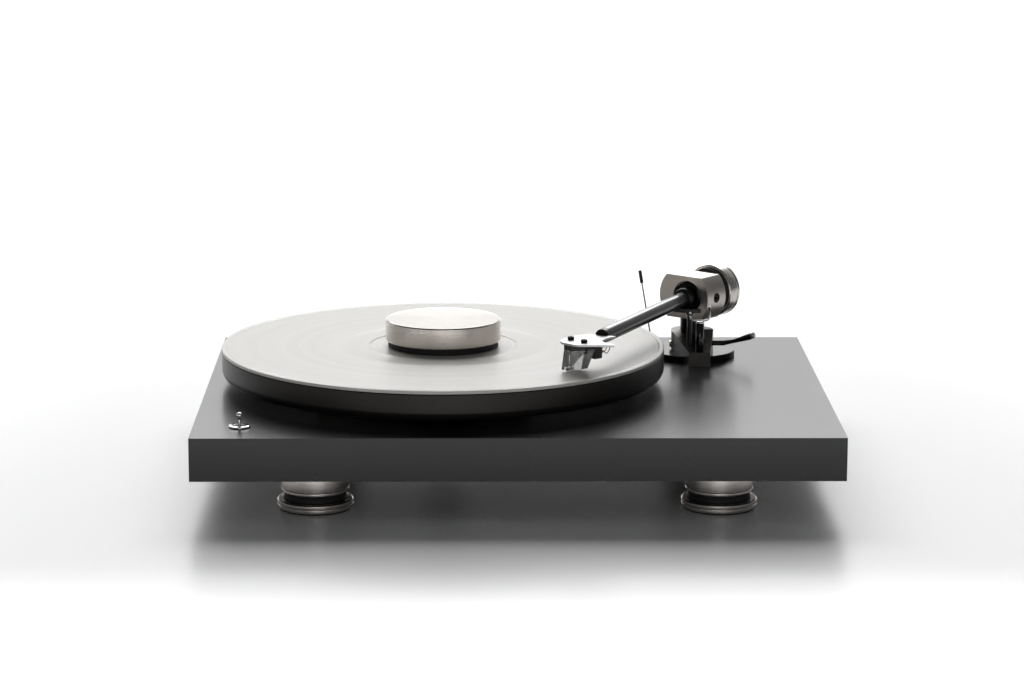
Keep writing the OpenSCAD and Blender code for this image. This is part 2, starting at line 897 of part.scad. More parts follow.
module arm_mount() {
    color([0.2, 0.19, 0.18])
    difference() {
        at_pivot(top_z) intersection() {
            linear_extrude(mount_h) {
                circle(d = mount_w);
                polygon([
                    [nose_shift - nose_w / 2, -nose_reach], [nose_shift + nose_w / 2, -nose_reach],
                    [mount_w / 2, 0], [-mount_w / 2, 0]
                ]);
            }
            rotate([90, 0, 90]) translate([0, 0, -mount_w]) linear_extrude(2 * mount_w) polygon([
                [-nose_reach - cut, 0], [mount_w, 0], [mount_w, mount_h], [0, mount_h],
                [-nose_reach, nose_h], [-nose_reach - cut, nose_h]
            ]);
        }
        at_pivot(top_z - cut) cylinder(d = base_d, h = base_h + cut);
        at_pivot(top_z) cylinder(d = mount_bore_d, h = mount_h + cut);
        at_pivot(cue_z) translate([cue_start, cue_y, 0]) rotate([0, 90, 0])
            cylinder(d = cue_d + 2 * cue_gap, h = mount_w);
        at_pivot(piston_z - 1) rotate(piston_angle) translate([piston_reach, 0, 0])
            cylinder(d = piston_d + 2 * cue_gap, h = mount_h);
        at_post(top_z + nose_h - post_grip) cylinder(d = post_d, h = mount_h);
        at_clamp() cylinder(d = screw_d, h = 7);
        at_clamp() translate([0, 0, -clamp_head_h]) cylinder(d = clamp_head_d + 0.2, h = clamp_head_h);
    }
}

module at_clamp() {
    at_pivot(top_z + base_h + 3.4) translate([-mount_w / 2 + 0.6, 0, 0]) rotate([0, 90, 0]) children();
}

module clamp_screw() {
    color([0.85, 0.75, 0.55])
    at_clamp() {
        cylinder(d = screw_d, h = (mount_w - pillar_d) / 2 - 0.6);
        translate([0, 0, -clamp_head_h]) difference() {
            turned(clamp_head_d, clamp_head_h, 0.4);
            translate([0, 0, -eps]) cylinder(d = 2, h = 1, $fn = 6);
        }
    }
}

module arm_pillar() {
    color([0.05, 0.05, 0.05])
    at_pivot(pillar_foot) difference() {
        turned(pillar_d, pillar_top - pillar_foot, 0.4);
        translate([0, 0, 3]) cylinder(d = race_d, h = pillar_top);
    }
}

module pillar_bearings() {
    color([0.75, 0.75, 0.77])
    for (z = [pillar_top - race_h - 0.3, pillar_foot + 4]) {
        at_pivot(z) ring(race_d, spindle_rod_d + 2 * run_gap, race_h);
    }
}

module pillar_spindle() {
    color([0.7, 0.7, 0.72])
    at_pivot(pillar_foot + 3.6)
        cylinder(d = spindle_rod_d, h = arm_z - block_under + 2.6 - pillar_foot - 3.6);
}

module rest_post() {
    color([0.04, 0.04, 0.04])
    at_post(top_z + nose_h - post_grip) turned(post_d, post_top - nose_h + post_grip, 0.4);
}

module rest_clip() {
    half = clip_w / 2;
    bend = 3;
    color([0.85, 0.85, 0.87])
    at_post() {
        translate([0, 0, top_z + post_top]) turned(post_d, clip_floor - top_z - post_top, 0.4);
        translate([0, 0, clip_floor + clip_wire / 2 - 0.3]) rotate([90, 0, 0]) {
            clip_run([-half + bend, 0], [half - bend, 0]);
            clip_corner(-half + bend, bend, 180);
            clip_corner(half - bend, bend, 270);
            clip_run([-half, bend], [-half, inner_prong_top - clip_floor - prong_tip_d / 2]);
            clip_run([half, bend], [half, outer_prong_top - clip_floor - prong_tip_d / 2]);
            translate([-half, inner_prong_top - clip_floor - prong_tip_d / 2, 0]) sphere(d = prong_tip_d);
            translate([half, outer_prong_top - clip_floor - prong_tip_d / 2, 0]) sphere(d = prong_tip_d);
        }
    }
}

// Straight wire between two points of the clip's plane
module clip_run(a, b) {
    rod([a[0], a[1], 0], [b[0], b[1], 0], clip_wire);
}

// Quarter bend of the wire, its centre bend above the floor wire
module clip_corner(x, bend, from) {
    translate([x, bend, 0]) rotate(from) rotate_extrude(angle = 90)
        translate([bend, 0]) circle(d = clip_wire, $fn = 24);
}

module skate_stalk() {
    color([0.3, 0.3, 0.31])
    at_pivot(top_z) rod(stalk_foot, stalk_top, stalk_d);
}

module skate_tip() {
    along = (stalk_top - stalk_foot) / norm(stalk_top - stalk_foot);
    color([0.15, 0.15, 0.15])
    at_pivot(top_z) difference() {
        rod(stalk_top - along * (stalk_tip_l - 1), stalk_top + along, stalk_tip_d);
        rod(stalk_foot, stalk_top, stalk_d);
    }
}

module cue_lever() {
    color([0.05, 0.05, 0.05])
    at_pivot(cue_z) translate([0, cue_y, 0]) {
        rotate([0, 90, 0]) translate([0, 0, cue_start + 1]) cylinder(d = cue_d, h = cue_bend - cue_start - 1);
        hull() {
            translate([cue_bend - 1, 0, 0]) sphere(d = cue_d, $fn = 32);
            translate(cue_neck) sphere(d = 2.6, $fn = 32);
        }
        hull() {
            translate(cue_neck) sphere(d = 2.6, $fn = 32);
            translate(cue_end) rotate(cue_end_turn) cylinder(d = cue_tip_d, h = cue_collar_l, $fn = 32);
        }
    }
}

module cue_tip() {
    color([0.75, 0.7, 0.66])
    at_pivot(cue_z) translate([0, cue_y, 0]) translate(cue_end) rotate(cue_end_turn)
        translate([0, 0, cue_collar_l]) turned(cue_tip_d, 2.6, 0.3);
}

module lift_bar() {
    color([0.06, 0.06, 0.06])
    at_pivot() {
        translate([0, 0, bar_top - bar_t]) rotate(bar_from) rotate_extrude(angle = bar_to - bar_from)
            translate([bar_in, 0]) square([bar_out - bar_in, bar_t]);
        rotate(piston_angle) translate([piston_reach, 0, piston_z])
            cylinder(d = piston_d, h = bar_top - bar_t - piston_z + eps);
        rotate(piston_angle) translate([piston_reach, 0, bar_top - bar_t - 1]) cylinder(d = 5.4, h = 1 + eps);
    }
}

// ---------------------------------------------------------------- tonearm

module bearing_block() {
    color([0.66, 0.63, 0.6])
    difference() {
        block_frame() intersection() {
            rotate([90, 0, 0]) cylinder(d = block_d, h = block_l, center = true);
            translate([-block_d, -block_l, -block_under])
                cube([2 * block_d, 2 * block_l, block_under + block_top]);
        }
        arm_frame() rotate([90, 0, 0]) cylinder(d = block_bore_d, h = 2 * block_l, center = true);
        at_pivot(arm_z - block_under - cut) cylinder(d = spindle_rod_d, h = 2.6 + cut);
        at_point_screws() translate([0, 0, -block_d / 2]) cylinder(d = point_screw_d, h = block_d);
    }
}

// The two ends of the lifting axis, with +Z pointing outwards
module at_point_screws() {
    block_frame() for (s = [-1, 1]) {
        rotate([0, s * 90, 0]) translate([0, 0, block_d / 2]) children();
    }
}

module block_screws() {
    outside = block_d / 2;
    color([0.08, 0.08, 0.08])
    at_point_screws() difference() {
        union() {
            translate([0, 0, point_face - outside])
                turned(point_screw_d, outside - screw_sunk - point_face, 0.4);
            translate([0, 0, point_end - outside])
                cylinder(d1 = 0.6, d2 = 3, h = point_face - point_end + eps);
        }
        translate([0, 0, -2.2]) cylinder(d = 3, h = 3, $fn = 6);
    }
}

module arm_gimbal() {
    color([0.05, 0.05, 0.05])
    difference() {
        union() {
            arm_frame() rotate([90, 0, 0]) {
                translate([0, 0, -gimbal_back]) turned(gimbal_d, gimbal_front + gimbal_back, 0.8);
                turned(sleeve_d, sleeve_reach, 0.7);
            }
            block_frame() rotate([-90, 0, 0]) cylinder(d = stub_d, h = stub_end);
        }
        arm_frame() rotate([90, 0, 0]) cylinder(d = tube_d, h = sleeve_reach + cut);
    }
}

module arm_tube() {
    color([0.06, 0.065, 0.07])
    arm_frame() rotate([90, 0, 0]) ring(tube_d, tube_d - 2 * tube_wall, tube_reach);
}

module shell_collar() {
    color([0.16, 0.15, 0.13])
    arm_frame() difference() {
        union() {
            translate([0, -tube_reach, 0]) rotate([90, 0, 0]) cylinder(d = tube_d - 0.2, h = collar_nose);
            translate([0, -tube_reach + 8, 0]) rotate([90, 0, 0])
                cylinder(d = tube_d - 2 * tube_wall, h = 8 + eps);
        }
        translate([-tube_d, -tube_reach - collar_nose - cut, -plate_under])
            cube([2 * tube_d, collar_nose - collar_l + cut, tube_d]);
    }
}

// Headshell plate with its finger lift; forward is -Y
module headshell() {
    color([0.86, 0.86, 0.86])
    difference() {
        head_frame() translate([0, 0, -plate_under]) linear_extrude(plate_t) difference() {
            polygon([
                [-4, -10.6], [-8.2, -8], [-12, -2], [-13.8, 9], [-13.4, 22], [-11, 34],
                [5, 34], [5, 22], [9, 13], [14, 10.5], [23.5, 11], [25.8, 8.6],
                [15.6, -1.8], [10, -8], [6.5, -10]
            ]);
            for (x = [-1, 1] * screw_pitch / 2) {
                translate([x, 0]) circle(d = 2.5);
            }
        }
        arm_frame() translate([-4 * tube_d, -tube_reach - collar_l, -tube_d])
            cube([8 * tube_d, 60, 2 * tube_d]);
    }
}

// Horizontal outline of the cartridge: the nose half-width and the side half-width
function cart_outline(front, chamfer, nose, half, rear) = [
    [-nose, -front], [nose, -front], [half, chamfer - front],
    [half, rear], [-half, rear], [-half, chamfer - front]
];

module cartridge_body() {
    color([0.07, 0.07, 0.07])
    head_frame() difference() {
        union() {
            translate([0, 0, -plate_under - cart_body_h]) linear_extrude(cart_body_h)
                polygon(cart_outline(cart_front, holder_chamfer, holder_nose_half, cart_half, cart_rear));
            translate([-cart_half, holder_rear + 0.2, -plate_under - cart_body_h - 7])
                cube([2 * cart_half, cart_rear - holder_rear - 0.2, 7 + eps]);
        }
        for (x = [-1, 1] * screw_pitch / 2) {
            translate([x, 0, -plate_under - cart_body_h - cut]) cylinder(d = 2.5, h = cart_body_h + 2 * cut);
        }
    }
}

module stylus_holder() {
    top = -plate_under - cart_body_h;
    floor_z = holder_floor - arm_z;
    color([0.45, 0.44, 0.43, 0.8])
    head_frame() difference() {
        hull() {
            translate([0, 0, top - 0.8]) linear_extrude(0.8)
                polygon(cart_outline(cart_front, holder_chamfer, holder_nose_half, cart_half, holder_rear));
            translate([0, 0, floor_z]) linear_extrude(0.4) polygon([
                [-holder_nose_half, -cart_front - holder_foot], [holder_nose_half, -cart_front - holder_foot],
                [5, holder_rear - 3], [-5, holder_rear - 3]
            ]);
        }
        translate([-0.9, -cart_front - holder_foot - cut, floor_z - cut]) cube([1.8, 7, 3.4]);
        for (x = [-1, 1] * screw_pitch / 2) {
            translate([x, 0, top - 2.4]) cylinder(d = 4.6, h = 3);
        }
        cantilever_rod();
    }
}

module cantilever() {
    color([0.8, 0.8, 0.8])
    head_frame() {
        cantilever_rod();
        translate([0, -stylus_ahead, stylus_z]) cylinder(d1 = 0.12, d2 = 0.4, h = 1.2);
    }
}

module cantilever_rod() {
    rod([0, -stylus_ahead + 5.4, stylus_z + 3.9], [0, -stylus_ahead - 0.2, stylus_z + 0.9], 0.6);
}

module cartridge_screws() {
    color([0.08, 0.08, 0.08])
    head_frame() for (x = [-1, 1] * screw_pitch / 2) {
        translate([x, 0, plate_t - plate_under]) {
            difference() {
                turned(4.4, 2.1, 0.3);
                translate([0, 0, 1]) cylinder(d = 2, h = 2, $fn = 6);
            }
            translate([0, 0, -plate_t - cart_body_h - 0.6])
                cylinder(d = 2.5, h = plate_t + cart_body_h + 0.6 + eps);
            translate([0, 0, -plate_t - cart_body_h - 2]) cylinder(d = 4, h = 1.6, $fn = 6);
        }
    }
}

module cartridge_pins() {
    color([0.83, 0.68, 0.35])
    head_frame() for (x = [-5.4, -1.8, 1.8, 5.4]) {
        translate([x, cart_rear, -plate_under - 7.2]) rotate([-90, 0, 0]) cylinder(d = 1.3, h = 5);
    }
}

module weight_damper() {
    color([0.05, 0.05, 0.05])
    block_frame() rotate([-90, 0, 0]) translate([0, 0, weight_reach - 2.6]) ring(damper_d, stub_d + 0.1, 3.6);
}

module counterweight() {
    color([0.7, 0.68, 0.65])
    block_frame() rotate([-90, 0, 0]) translate([0, 0, weight_reach]) difference() {
        turned(weight_d, weight_l, 0.7);
        translate([0, 0, -cut]) cylinder(d = damper_d, h = 1 + cut);
        translate([0, 0, -cut]) cylinder(d = stub_d + 0.1, h = weight_l - weight_floor + cut);
    }
}

// ---------------------------------------------------------------- assembly

plinth();
foot_studs();
foot_bodies();
foot_dampers();
foot_bases();
foot_pads();
bearing_housing();
bearing_bushes();
thrust_ball();
housing_nut();
motor_can();
motor_plate();
motor_shaft();
pulley();
drive_belt();
circuit_board();
bottom_cover();
panel_screws();
toggle_body();
toggle_nut();
toggle_lever();
terminal_plate();
phono_barrels();
phono_insulators();
ground_post();
dc_socket();
spindle();
subplatter();
platter();
platter_mat();
puck_body();
puck_base();
arm_base();
arm_base_screws();
arm_mount();
clamp_screw();
arm_pillar();
pillar_bearings();
pillar_spindle();
rest_post();
rest_clip();
skate_stalk();
skate_tip();
cue_lever();
cue_tip();
lift_bar();
bearing_block();
block_screws();
arm_gimbal();
arm_tube();
shell_collar();
headshell();
cartridge_body();
stylus_holder();
cantilever();
cartridge_screws();
cartridge_pins();
counterweight();
weight_damper();
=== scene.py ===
import json
import math

import bmesh
import bpy
from mathutils import Matrix, Vector


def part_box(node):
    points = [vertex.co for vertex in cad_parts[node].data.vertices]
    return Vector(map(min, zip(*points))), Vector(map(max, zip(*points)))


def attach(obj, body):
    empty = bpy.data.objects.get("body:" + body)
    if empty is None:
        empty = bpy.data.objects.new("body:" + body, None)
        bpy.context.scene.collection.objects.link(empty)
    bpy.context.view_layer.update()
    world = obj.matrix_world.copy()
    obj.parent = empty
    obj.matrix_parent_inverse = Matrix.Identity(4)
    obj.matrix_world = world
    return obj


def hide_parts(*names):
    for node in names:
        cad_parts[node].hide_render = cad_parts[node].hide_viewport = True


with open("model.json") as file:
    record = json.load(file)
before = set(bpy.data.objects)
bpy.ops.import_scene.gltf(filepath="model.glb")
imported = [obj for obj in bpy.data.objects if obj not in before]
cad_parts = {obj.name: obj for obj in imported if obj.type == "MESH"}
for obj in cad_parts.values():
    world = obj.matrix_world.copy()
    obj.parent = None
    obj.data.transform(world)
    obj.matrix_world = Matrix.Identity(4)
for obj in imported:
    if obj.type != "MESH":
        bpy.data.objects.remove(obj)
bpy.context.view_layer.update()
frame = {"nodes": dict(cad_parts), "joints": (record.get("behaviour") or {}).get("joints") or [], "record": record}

MM = 0.001
nodes = frame["nodes"]
joints = {j["name"]: j for j in frame["joints"]}
spindle = Vector(joints["platter_spin"]["pos_m"])
pivot = Vector(joints["arm_swing"]["pos_m"])
tube_heading = math.radians(25.15)
block_heading = math.radians(40.5)
head_heading = math.radians(49.0)
tube_way = Vector((-math.sin(tube_heading), -math.cos(tube_heading), 0))
block_way = Vector((math.sin(block_heading), math.cos(block_heading), 0))
UP = Vector((0, 0, 1))


# ---------------------------------------------------------------- shader tools

class Value:
    """A number socket that takes part in Python expressions."""

    def __init__(self, shade, socket):
        self.shade = shade
        self.socket = socket

    def _maths(self, operation, a, b=0.0):
        made = self.shade.node("ShaderNodeMath", {"operation": operation}, {0: a, 1: b})
        return Value(self.shade, made.outputs[0])

    def __add__(self, other):
        return self._maths("ADD", self, other)

    __radd__ = __add__

    def __mul__(self, other):
        return self._maths("MULTIPLY", self, other)

    __rmul__ = __mul__

    def __sub__(self, other):
        return self._maths("SUBTRACT", self, other)

    def __rsub__(self, other):
        return self._maths("SUBTRACT", other, self)

    def __abs__(self):
        return self._maths("ABSOLUTE", self)

    def sine(self):
        return self._maths("SINE", self)

    def ramp(self, low, high):
        """0 below low, 1 above high, smooth between them."""
        made = self.shade.node("ShaderNodeMapRange", {"interpolation_type": "SMOOTHSTEP"},
                               {"Value": self, "From Min": low, "From Max": high})
        return Value(self.shade, made.outputs["Result"])


class Shade:
    """A material under construction: one Principled shader and the nodes that feed it."""

    def __init__(self, name, **constants):
        self.material = bpy.data.materials.new(name)
        self.material.use_nodes = True
        self.tree = self.material.node_tree
        self.tree.nodes.clear()
        self.shader = self.node("ShaderNodeBsdfPrincipled", {},
                                {key.replace("_", " "): value for key, value in constants.items()})
        self.out = self.node("ShaderNodeOutputMaterial", {}, {"Surface": self.shader.outputs[0]})
        self.place = self.node("ShaderNodeTexCoord", {}, {}).outputs["Object"]

    def node(self, kind, settings, sockets):
        made = self.tree.nodes.new(kind)
        for key, value in settings.items():
            setattr(made, key, value)
        for key, value in sockets.items():
            self.feed(made.inputs[key], value)
        return made

    def feed(self, socket, value):
        if isinstance(value, Value):
            value = value.socket
        if isinstance(value, bpy.types.NodeSocket):
            self.tree.links.new(value, socket)
        elif hasattr(socket.default_value, "__len__") and len(socket.default_value) == 4 and len(value) == 3:
            socket.default_value = (*value, 1.0)
        else:
            socket.default_value = value

    def set(self, **sockets):
        for key, value in sockets.items():
            self.feed(self.shader.inputs[key.replace("_", " ")], value)
        return self.material

    def vector(self, operation, a, b=None):
        sockets = {0: a} if b is None else {0: a, 1: b}
        made = self.node("ShaderNodeVectorMath", {"operation": operation}, sockets)
        if operation in ("LENGTH", "DOT_PRODUCT"):
            return Value(self, made.outputs["Value"])
        return made.outputs["Vector"]

    def mix(self, mask, a, b):
        made = self.node("ShaderNodeMix", {"data_type": "RGBA"}, {0: mask, 6: a, 7: b})
        return made.outputs[2]

    def noise(self, scale, detail=2.0, rough=0.5, at=None):
        made = self.node("ShaderNodeTexNoise", {},
                         {"Vector": at or self.place, "Scale": scale, "Detail": detail, "Roughness": rough})
        return Value(self, made.outputs[0])

    def streaks(self, along, scale, detail=3.0):
        """Noise along one number only, as a cutting tool leaves it."""
        made = self.node("ShaderNodeTexNoise", {"noise_dimensions": "1D"},
                         {"W": along, "Scale": scale, "Detail": detail, "Roughness": 0.6})
        return Value(self, made.outputs[0])

    def bump(self, height, depth, strength=1.0):
        made = self.node("ShaderNodeBump", {}, {"Height": height, "Distance": depth, "Strength": strength})
        return made.outputs[0]

    def parts(self, vector):
        made = self.node("ShaderNodeSeparateXYZ", {}, {0: vector})
        return [Value(self, s) for s in made.outputs]


def around(shade, centre, axis, folded=False):
    """Distance along an axis from a centre, and distance from the axis."""
    place = shade.vector("ABSOLUTE", shade.place) if folded else shade.place
    out = shade.vector("SUBTRACT", place, tuple(centre))
    along = shade.vector("DOT_PRODUCT", out, tuple(axis))
    if max(map(abs, axis)) > 0.999:
        flat = shade.vector("MULTIPLY", out, tuple(1 - abs(a) for a in axis))
    else:
        back = shade.node("ShaderNodeVectorMath", {"operation": "SCALE"}, {0: tuple(axis), "Scale": along})
        flat = shade.vector("SUBTRACT", out, back.outputs[0])
    return along, shade.vector("LENGTH", flat)


# ---------------------------------------------------------------- finishes

def turned_metal(name, colour, centre, axis=UP, rough=0.3, lines=9000.0, cut_depth=0.00002, folded=False,
                 face=None, painted_face_shade=1.0):
    """Metal faced and turned on a lathe: fine rings on its ends, fine lines round its sides, and an end face that
    may be painted darker as painted shade.
    """
    s = Shade(name, Metallic=1.0)
    along, radius = around(s, centre, axis, folded)
    cut = s.streaks(along + radius, lines)
    broad = s.streaks(along + radius, lines * 0.4, 1.0)
    stain = s.noise(28.0, 4.0)
    tone = s.mix(broad.ramp(0.25, 0.8), [c * 0.9 for c in colour], [min(1, c * 1.06) for c in colour])
    tone = s.mix(stain.ramp(0.42, 0.72) * 0.22, tone, [c * 0.84 for c in colour])
    # Above the height face, the end face takes a darker tone. This is painted shade that dims its reflection; the
    # metal is the same as on the sides.
    if face is not None:
        tone = s.mix(along.ramp(face - 0.4 * MM, face - 0.2 * MM), tone, [c * painted_face_shade for c in colour])
    return s.set(Base_Color=tone, Roughness=broad * 0.06 + (rough - 0.03), Normal=s.bump(cut, cut_depth))


def blasted_metal(name, colour, rough=0.42):
    """Bead-blasted and plated: a fine even grain with faint clouding."""
    s = Shade(name, Metallic=1.0)
    grain = s.noise(5200.0, 2.0)
    cloud = s.noise(45.0, 3.0)
    return s.set(Base_Color=s.mix(cloud.ramp(0.35, 0.75), colour, [c * 0.86 for c in colour]),
                 Roughness=grain * 0.14 + (rough - 0.07) + cloud * 0.05,
                 Normal=s.bump(grain, 0.000012))


def anodised(name, colour, rough=0.36, metal=0.85):
    s = Shade(name, Metallic=metal)
    grain = s.noise(4200.0, 3.0)
    cloud = s.noise(60.0, 2.0)
    return s.set(Base_Color=s.mix(cloud.ramp(0.3, 0.75), colour, [c * 0.75 for c in colour]),
                 Roughness=grain * 0.12 + (rough - 0.06), Normal=s.bump(grain, 0.00001))


def polished(name, colour, rough=0.08):
    s = Shade(name, Metallic=1.0)
    haze = s.noise(320.0, 4.0)
    return s.set(Base_Color=s.mix(haze.ramp(0.4, 0.8), colour, [c * 0.9 for c in colour]),
                 Roughness=haze.ramp(0.35, 0.8) * 0.08 + rough, Normal=s.bump(haze, 0.000004))


def lacquer():
    """Sprayed satin black over fine board: a slow orange peel and a very fine grain."""
    s = Shade("satin_black_lacquer")
    peel = s.noise(420.0, 2.0)
    grain = s.noise(3600.0, 2.0)
    cloud = s.noise(9.0, 3.0)
    return s.set(Base_Color=s.mix(cloud.ramp(0.3, 0.7), (0.0105, 0.0108, 0.0118), (0.0145, 0.0148, 0.016)),
                 Roughness=grain * 0.05 + cloud * 0.03 + 0.19,
                 Normal=s.bump(peel * 0.8 + grain * 0.2, 0.000012))


def moulded(name, colour, rough=0.45, grain_scale=1500.0):
    s = Shade(name)
    grain = s.noise(grain_scale, 3.0)
    cloud = s.noise(70.0, 2.0)
    return s.set(Base_Color=s.mix(cloud.ramp(0.3, 0.7), colour, [c * 0.8 for c in colour]),
                 Roughness=grain * 0.16 + (rough - 0.08), Normal=s.bump(grain, 0.00003))


def rubber(name, colour=(0.012, 0.012, 0.012), rough=0.62):
    s = Shade(name)
    grain = s.noise(2400.0, 4.0, 0.7)
    bloom = s.noise(90.0, 3.0)
    return s.set(Base_Color=s.mix(bloom.ramp(0.4, 0.8), colour, [c * 1.7 for c in colour]),
                 Roughness=grain * 0.2 + (rough - 0.1), Normal=s.bump(grain, 0.00004))


def platter_black():
    """Black-brown anodised rim: turned lines round the side under a satin film."""
    s = Shade("platter_anodised", Metallic=0.55)
    along, radius = around(s, spindle, UP)
    cut = s.streaks(along + radius, 2200.0)
    wear = s.noise(30.0, 4.0)
    return s.set(Base_Color=s.mix(cut.ramp(0.3, 0.8), (0.017, 0.0145, 0.0135), (0.03, 0.026, 0.024)),
                 Roughness=cut * 0.08 + wear * 0.05 + 0.3, Normal=s.bump(cut, 0.000012))


def mat_gloss(groove_from, groove_to):
    """Pale pressed disc: warm silver-white, glossy, with rings too fine to model on its grooved band."""
    s = Shade("pale_disc")
    _, radius = around(s, spindle, UP)
    rings = (radius * 8200.0).sine()
    fine = s.streaks(radius, 1700.0)
    band = radius.ramp(groove_from, groove_from + 0.0008) * (1 - radius.ramp(groove_to - 0.0008, groove_to))
    bands = s.streaks(radius, 75.0, 1.0)
    cloud = s.noise(7.0, 2.0)
    tone = s.mix(bands.ramp(0.35, 0.65) * band * 0.5, (0.57, 0.556, 0.52), (0.51, 0.497, 0.464))
    return s.set(Base_Color=s.mix(cloud.ramp(0.35, 0.75) * 0.4, tone, (0.535, 0.523, 0.498)),
                 Roughness=0.24 + band * 0.09 + fine * 0.05,
                 Normal=s.bump((rings * 0.4 + fine) * band, 0.000022))


def carbon(start):
    """Woven carbon under clear coat, laid along the arm tube."""
    s = Shade("clear_coated_carbon", Coat_Roughness=0.04)
    turned = s.node("ShaderNodeMapping", {"vector_type": "POINT"},
                    {"Vector": s.vector("SUBTRACT", s.place, tuple(start)), "Rotation": (0, 0, tube_heading)})
    x, y, z = s.parts(turned.outputs[0])
    warp = ((x + z) * 2600.0 + y * 2600.0).sine()
    weft = ((x - z) * 2600.0 - y * 2600.0).sine()
    weave = (warp * weft).ramp(-0.5, 0.5)
    return s.set(Base_Color=s.mix(weave, (0.006, 0.0065, 0.0075), (0.022, 0.024, 0.028)),
                 Roughness=weave * 0.12 + 0.3, Coat_Weight=weave * 0.05 + 0.6,
                 Normal=s.bump(weave, 0.00002, 0.4))


def smoked_clear():
    s = Shade("smoked_clear", IOR=1.49, Transmission_Weight=0.72)
    flow = s.noise(160.0, 3.0)
    return s.set(Base_Color=s.mix(flow.ramp(0.3, 0.75), (0.66, 0.655, 0.645), (0.5, 0.497, 0.49)),
                 Roughness=flow * 0.12 + 0.08, Normal=s.bump(flow, 0.00003))


def board_green():
    s = Shade("solder_mask")
    trace = s.noise(520.0, 0.0)
    grain = s.noise(2600.0, 2.0)
    return s.set(Base_Color=s.mix(trace.ramp(0.52, 0.55), (0.012, 0.075, 0.03), (0.035, 0.15, 0.06)),
                 Roughness=grain * 0.1 + 0.3, Normal=s.bump(trace.ramp(0.5, 0.56), 0.00004))


def belt_rubber():
    s = Shade("ground_belt")
    ground = s.noise(1900.0, 3.0, 0.7)
    return s.set(Base_Color=s.mix(ground.ramp(0.3, 0.8), (0.012, 0.011, 0.01), (0.03, 0.028, 0.026)),
                 Roughness=ground * 0.2 + 0.5, Normal=s.bump(ground, 0.00003))


def wire_sleeve(name, colour):
    s = Shade(name)
    twist = s.noise(2200.0, 2.0)
    return s.set(Base_Color=s.mix(twist.ramp(0.3, 0.7), colour, [c * 0.7 for c in colour]),
                 Roughness=twist * 0.1 + 0.35, Normal=s.bump(twist, 0.00001))


NICKEL = (0.66, 0.615, 0.575)
STEEL = (0.62, 0.62, 0.63)
foot_r = 21.9 * MM
foot_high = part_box("foot_bodies")[1]
foot_axis = Vector((foot_high.x - foot_r, foot_high.y - foot_r, 0))

look = {
    "lacquer": lacquer(),
    "foot_nickel": turned_metal("foot_nickel", (0.78, 0.73, 0.69), foot_axis, rough=0.2, cut_depth=0.00004,
                                folded=True),
    # The puck's top face is painted at half tone. This is painted shade over the same nickel as its side.
    "puck_nickel": turned_metal("puck_nickel", (0.76, 0.71, 0.66), spindle, rough=0.2, cut_depth=0.00004,
                                face=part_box("puck_body")[1][2] - spindle[2], painted_face_shade=0.5),
    "weight_nickel": turned_metal("weight_nickel", (0.72, 0.69, 0.65), pivot, block_way, rough=0.26),
    "bearing_steel": turned_metal("bearing_steel", STEEL, spindle, rough=0.2),
    "ground_steel": turned_metal("ground_steel", STEEL, pivot, rough=0.18, cut_depth=0.00001),
    "motor_steel": blasted_metal("motor_steel", STEEL, 0.34),
    "zinc": blasted_metal("zinc_plate", (0.6, 0.61, 0.63), 0.3),
    "block_nickel": blasted_metal("block_nickel", (0.67, 0.63, 0.595), 0.34),
    "platter_black": platter_black(),
    "carbon": carbon(pivot),
    "silver": anodised("silver_anodised", (0.52, 0.52, 0.52), 0.34, 1.0),
    "gunmetal": anodised("gunmetal_anodised", (0.075, 0.07, 0.066), 0.34),
    "olive_dark": anodised("dark_collar", (0.05, 0.046, 0.036), 0.3),
    "black_anodised": anodised("black_anodised", (0.012, 0.012, 0.012), 0.3, 0.6),
    "black_oxide": anodised("black_oxide", (0.014, 0.014, 0.015), 0.32, 0.7),
    "chrome": polished("bright_chrome", (0.86, 0.86, 0.88)),
    "cream_gold": anodised("cream_gold", (0.85, 0.74, 0.52), 0.28, 1.0),
    "gold": polished("gold_plate", (0.9, 0.68, 0.3), 0.14),
    "bronze": blasted_metal("sintered_bronze", (0.68, 0.47, 0.24), 0.4),
    "gloss_black": moulded("gloss_black_enamel", (0.008, 0.008, 0.008), 0.16, 500.0),
    "satin_black": moulded("satin_black_enamel", (0.011, 0.011, 0.011), 0.34),
    "moulded_black": moulded("moulded_black", (0.014, 0.014, 0.015), 0.46),
    "moulded_ivory": moulded("moulded_ivory", (0.62, 0.61, 0.56), 0.4),
    "rubber": rubber("foot_rubber"),
    "belt": belt_rubber(),
    "green": board_green(),
    "smoked": smoked_clear(),
    "light_tip": anodised("satin_tip", (0.72, 0.67, 0.63), 0.32, 1.0),
    "stalk": blasted_metal("drawn_stalk", (0.28, 0.28, 0.29), 0.3),
}
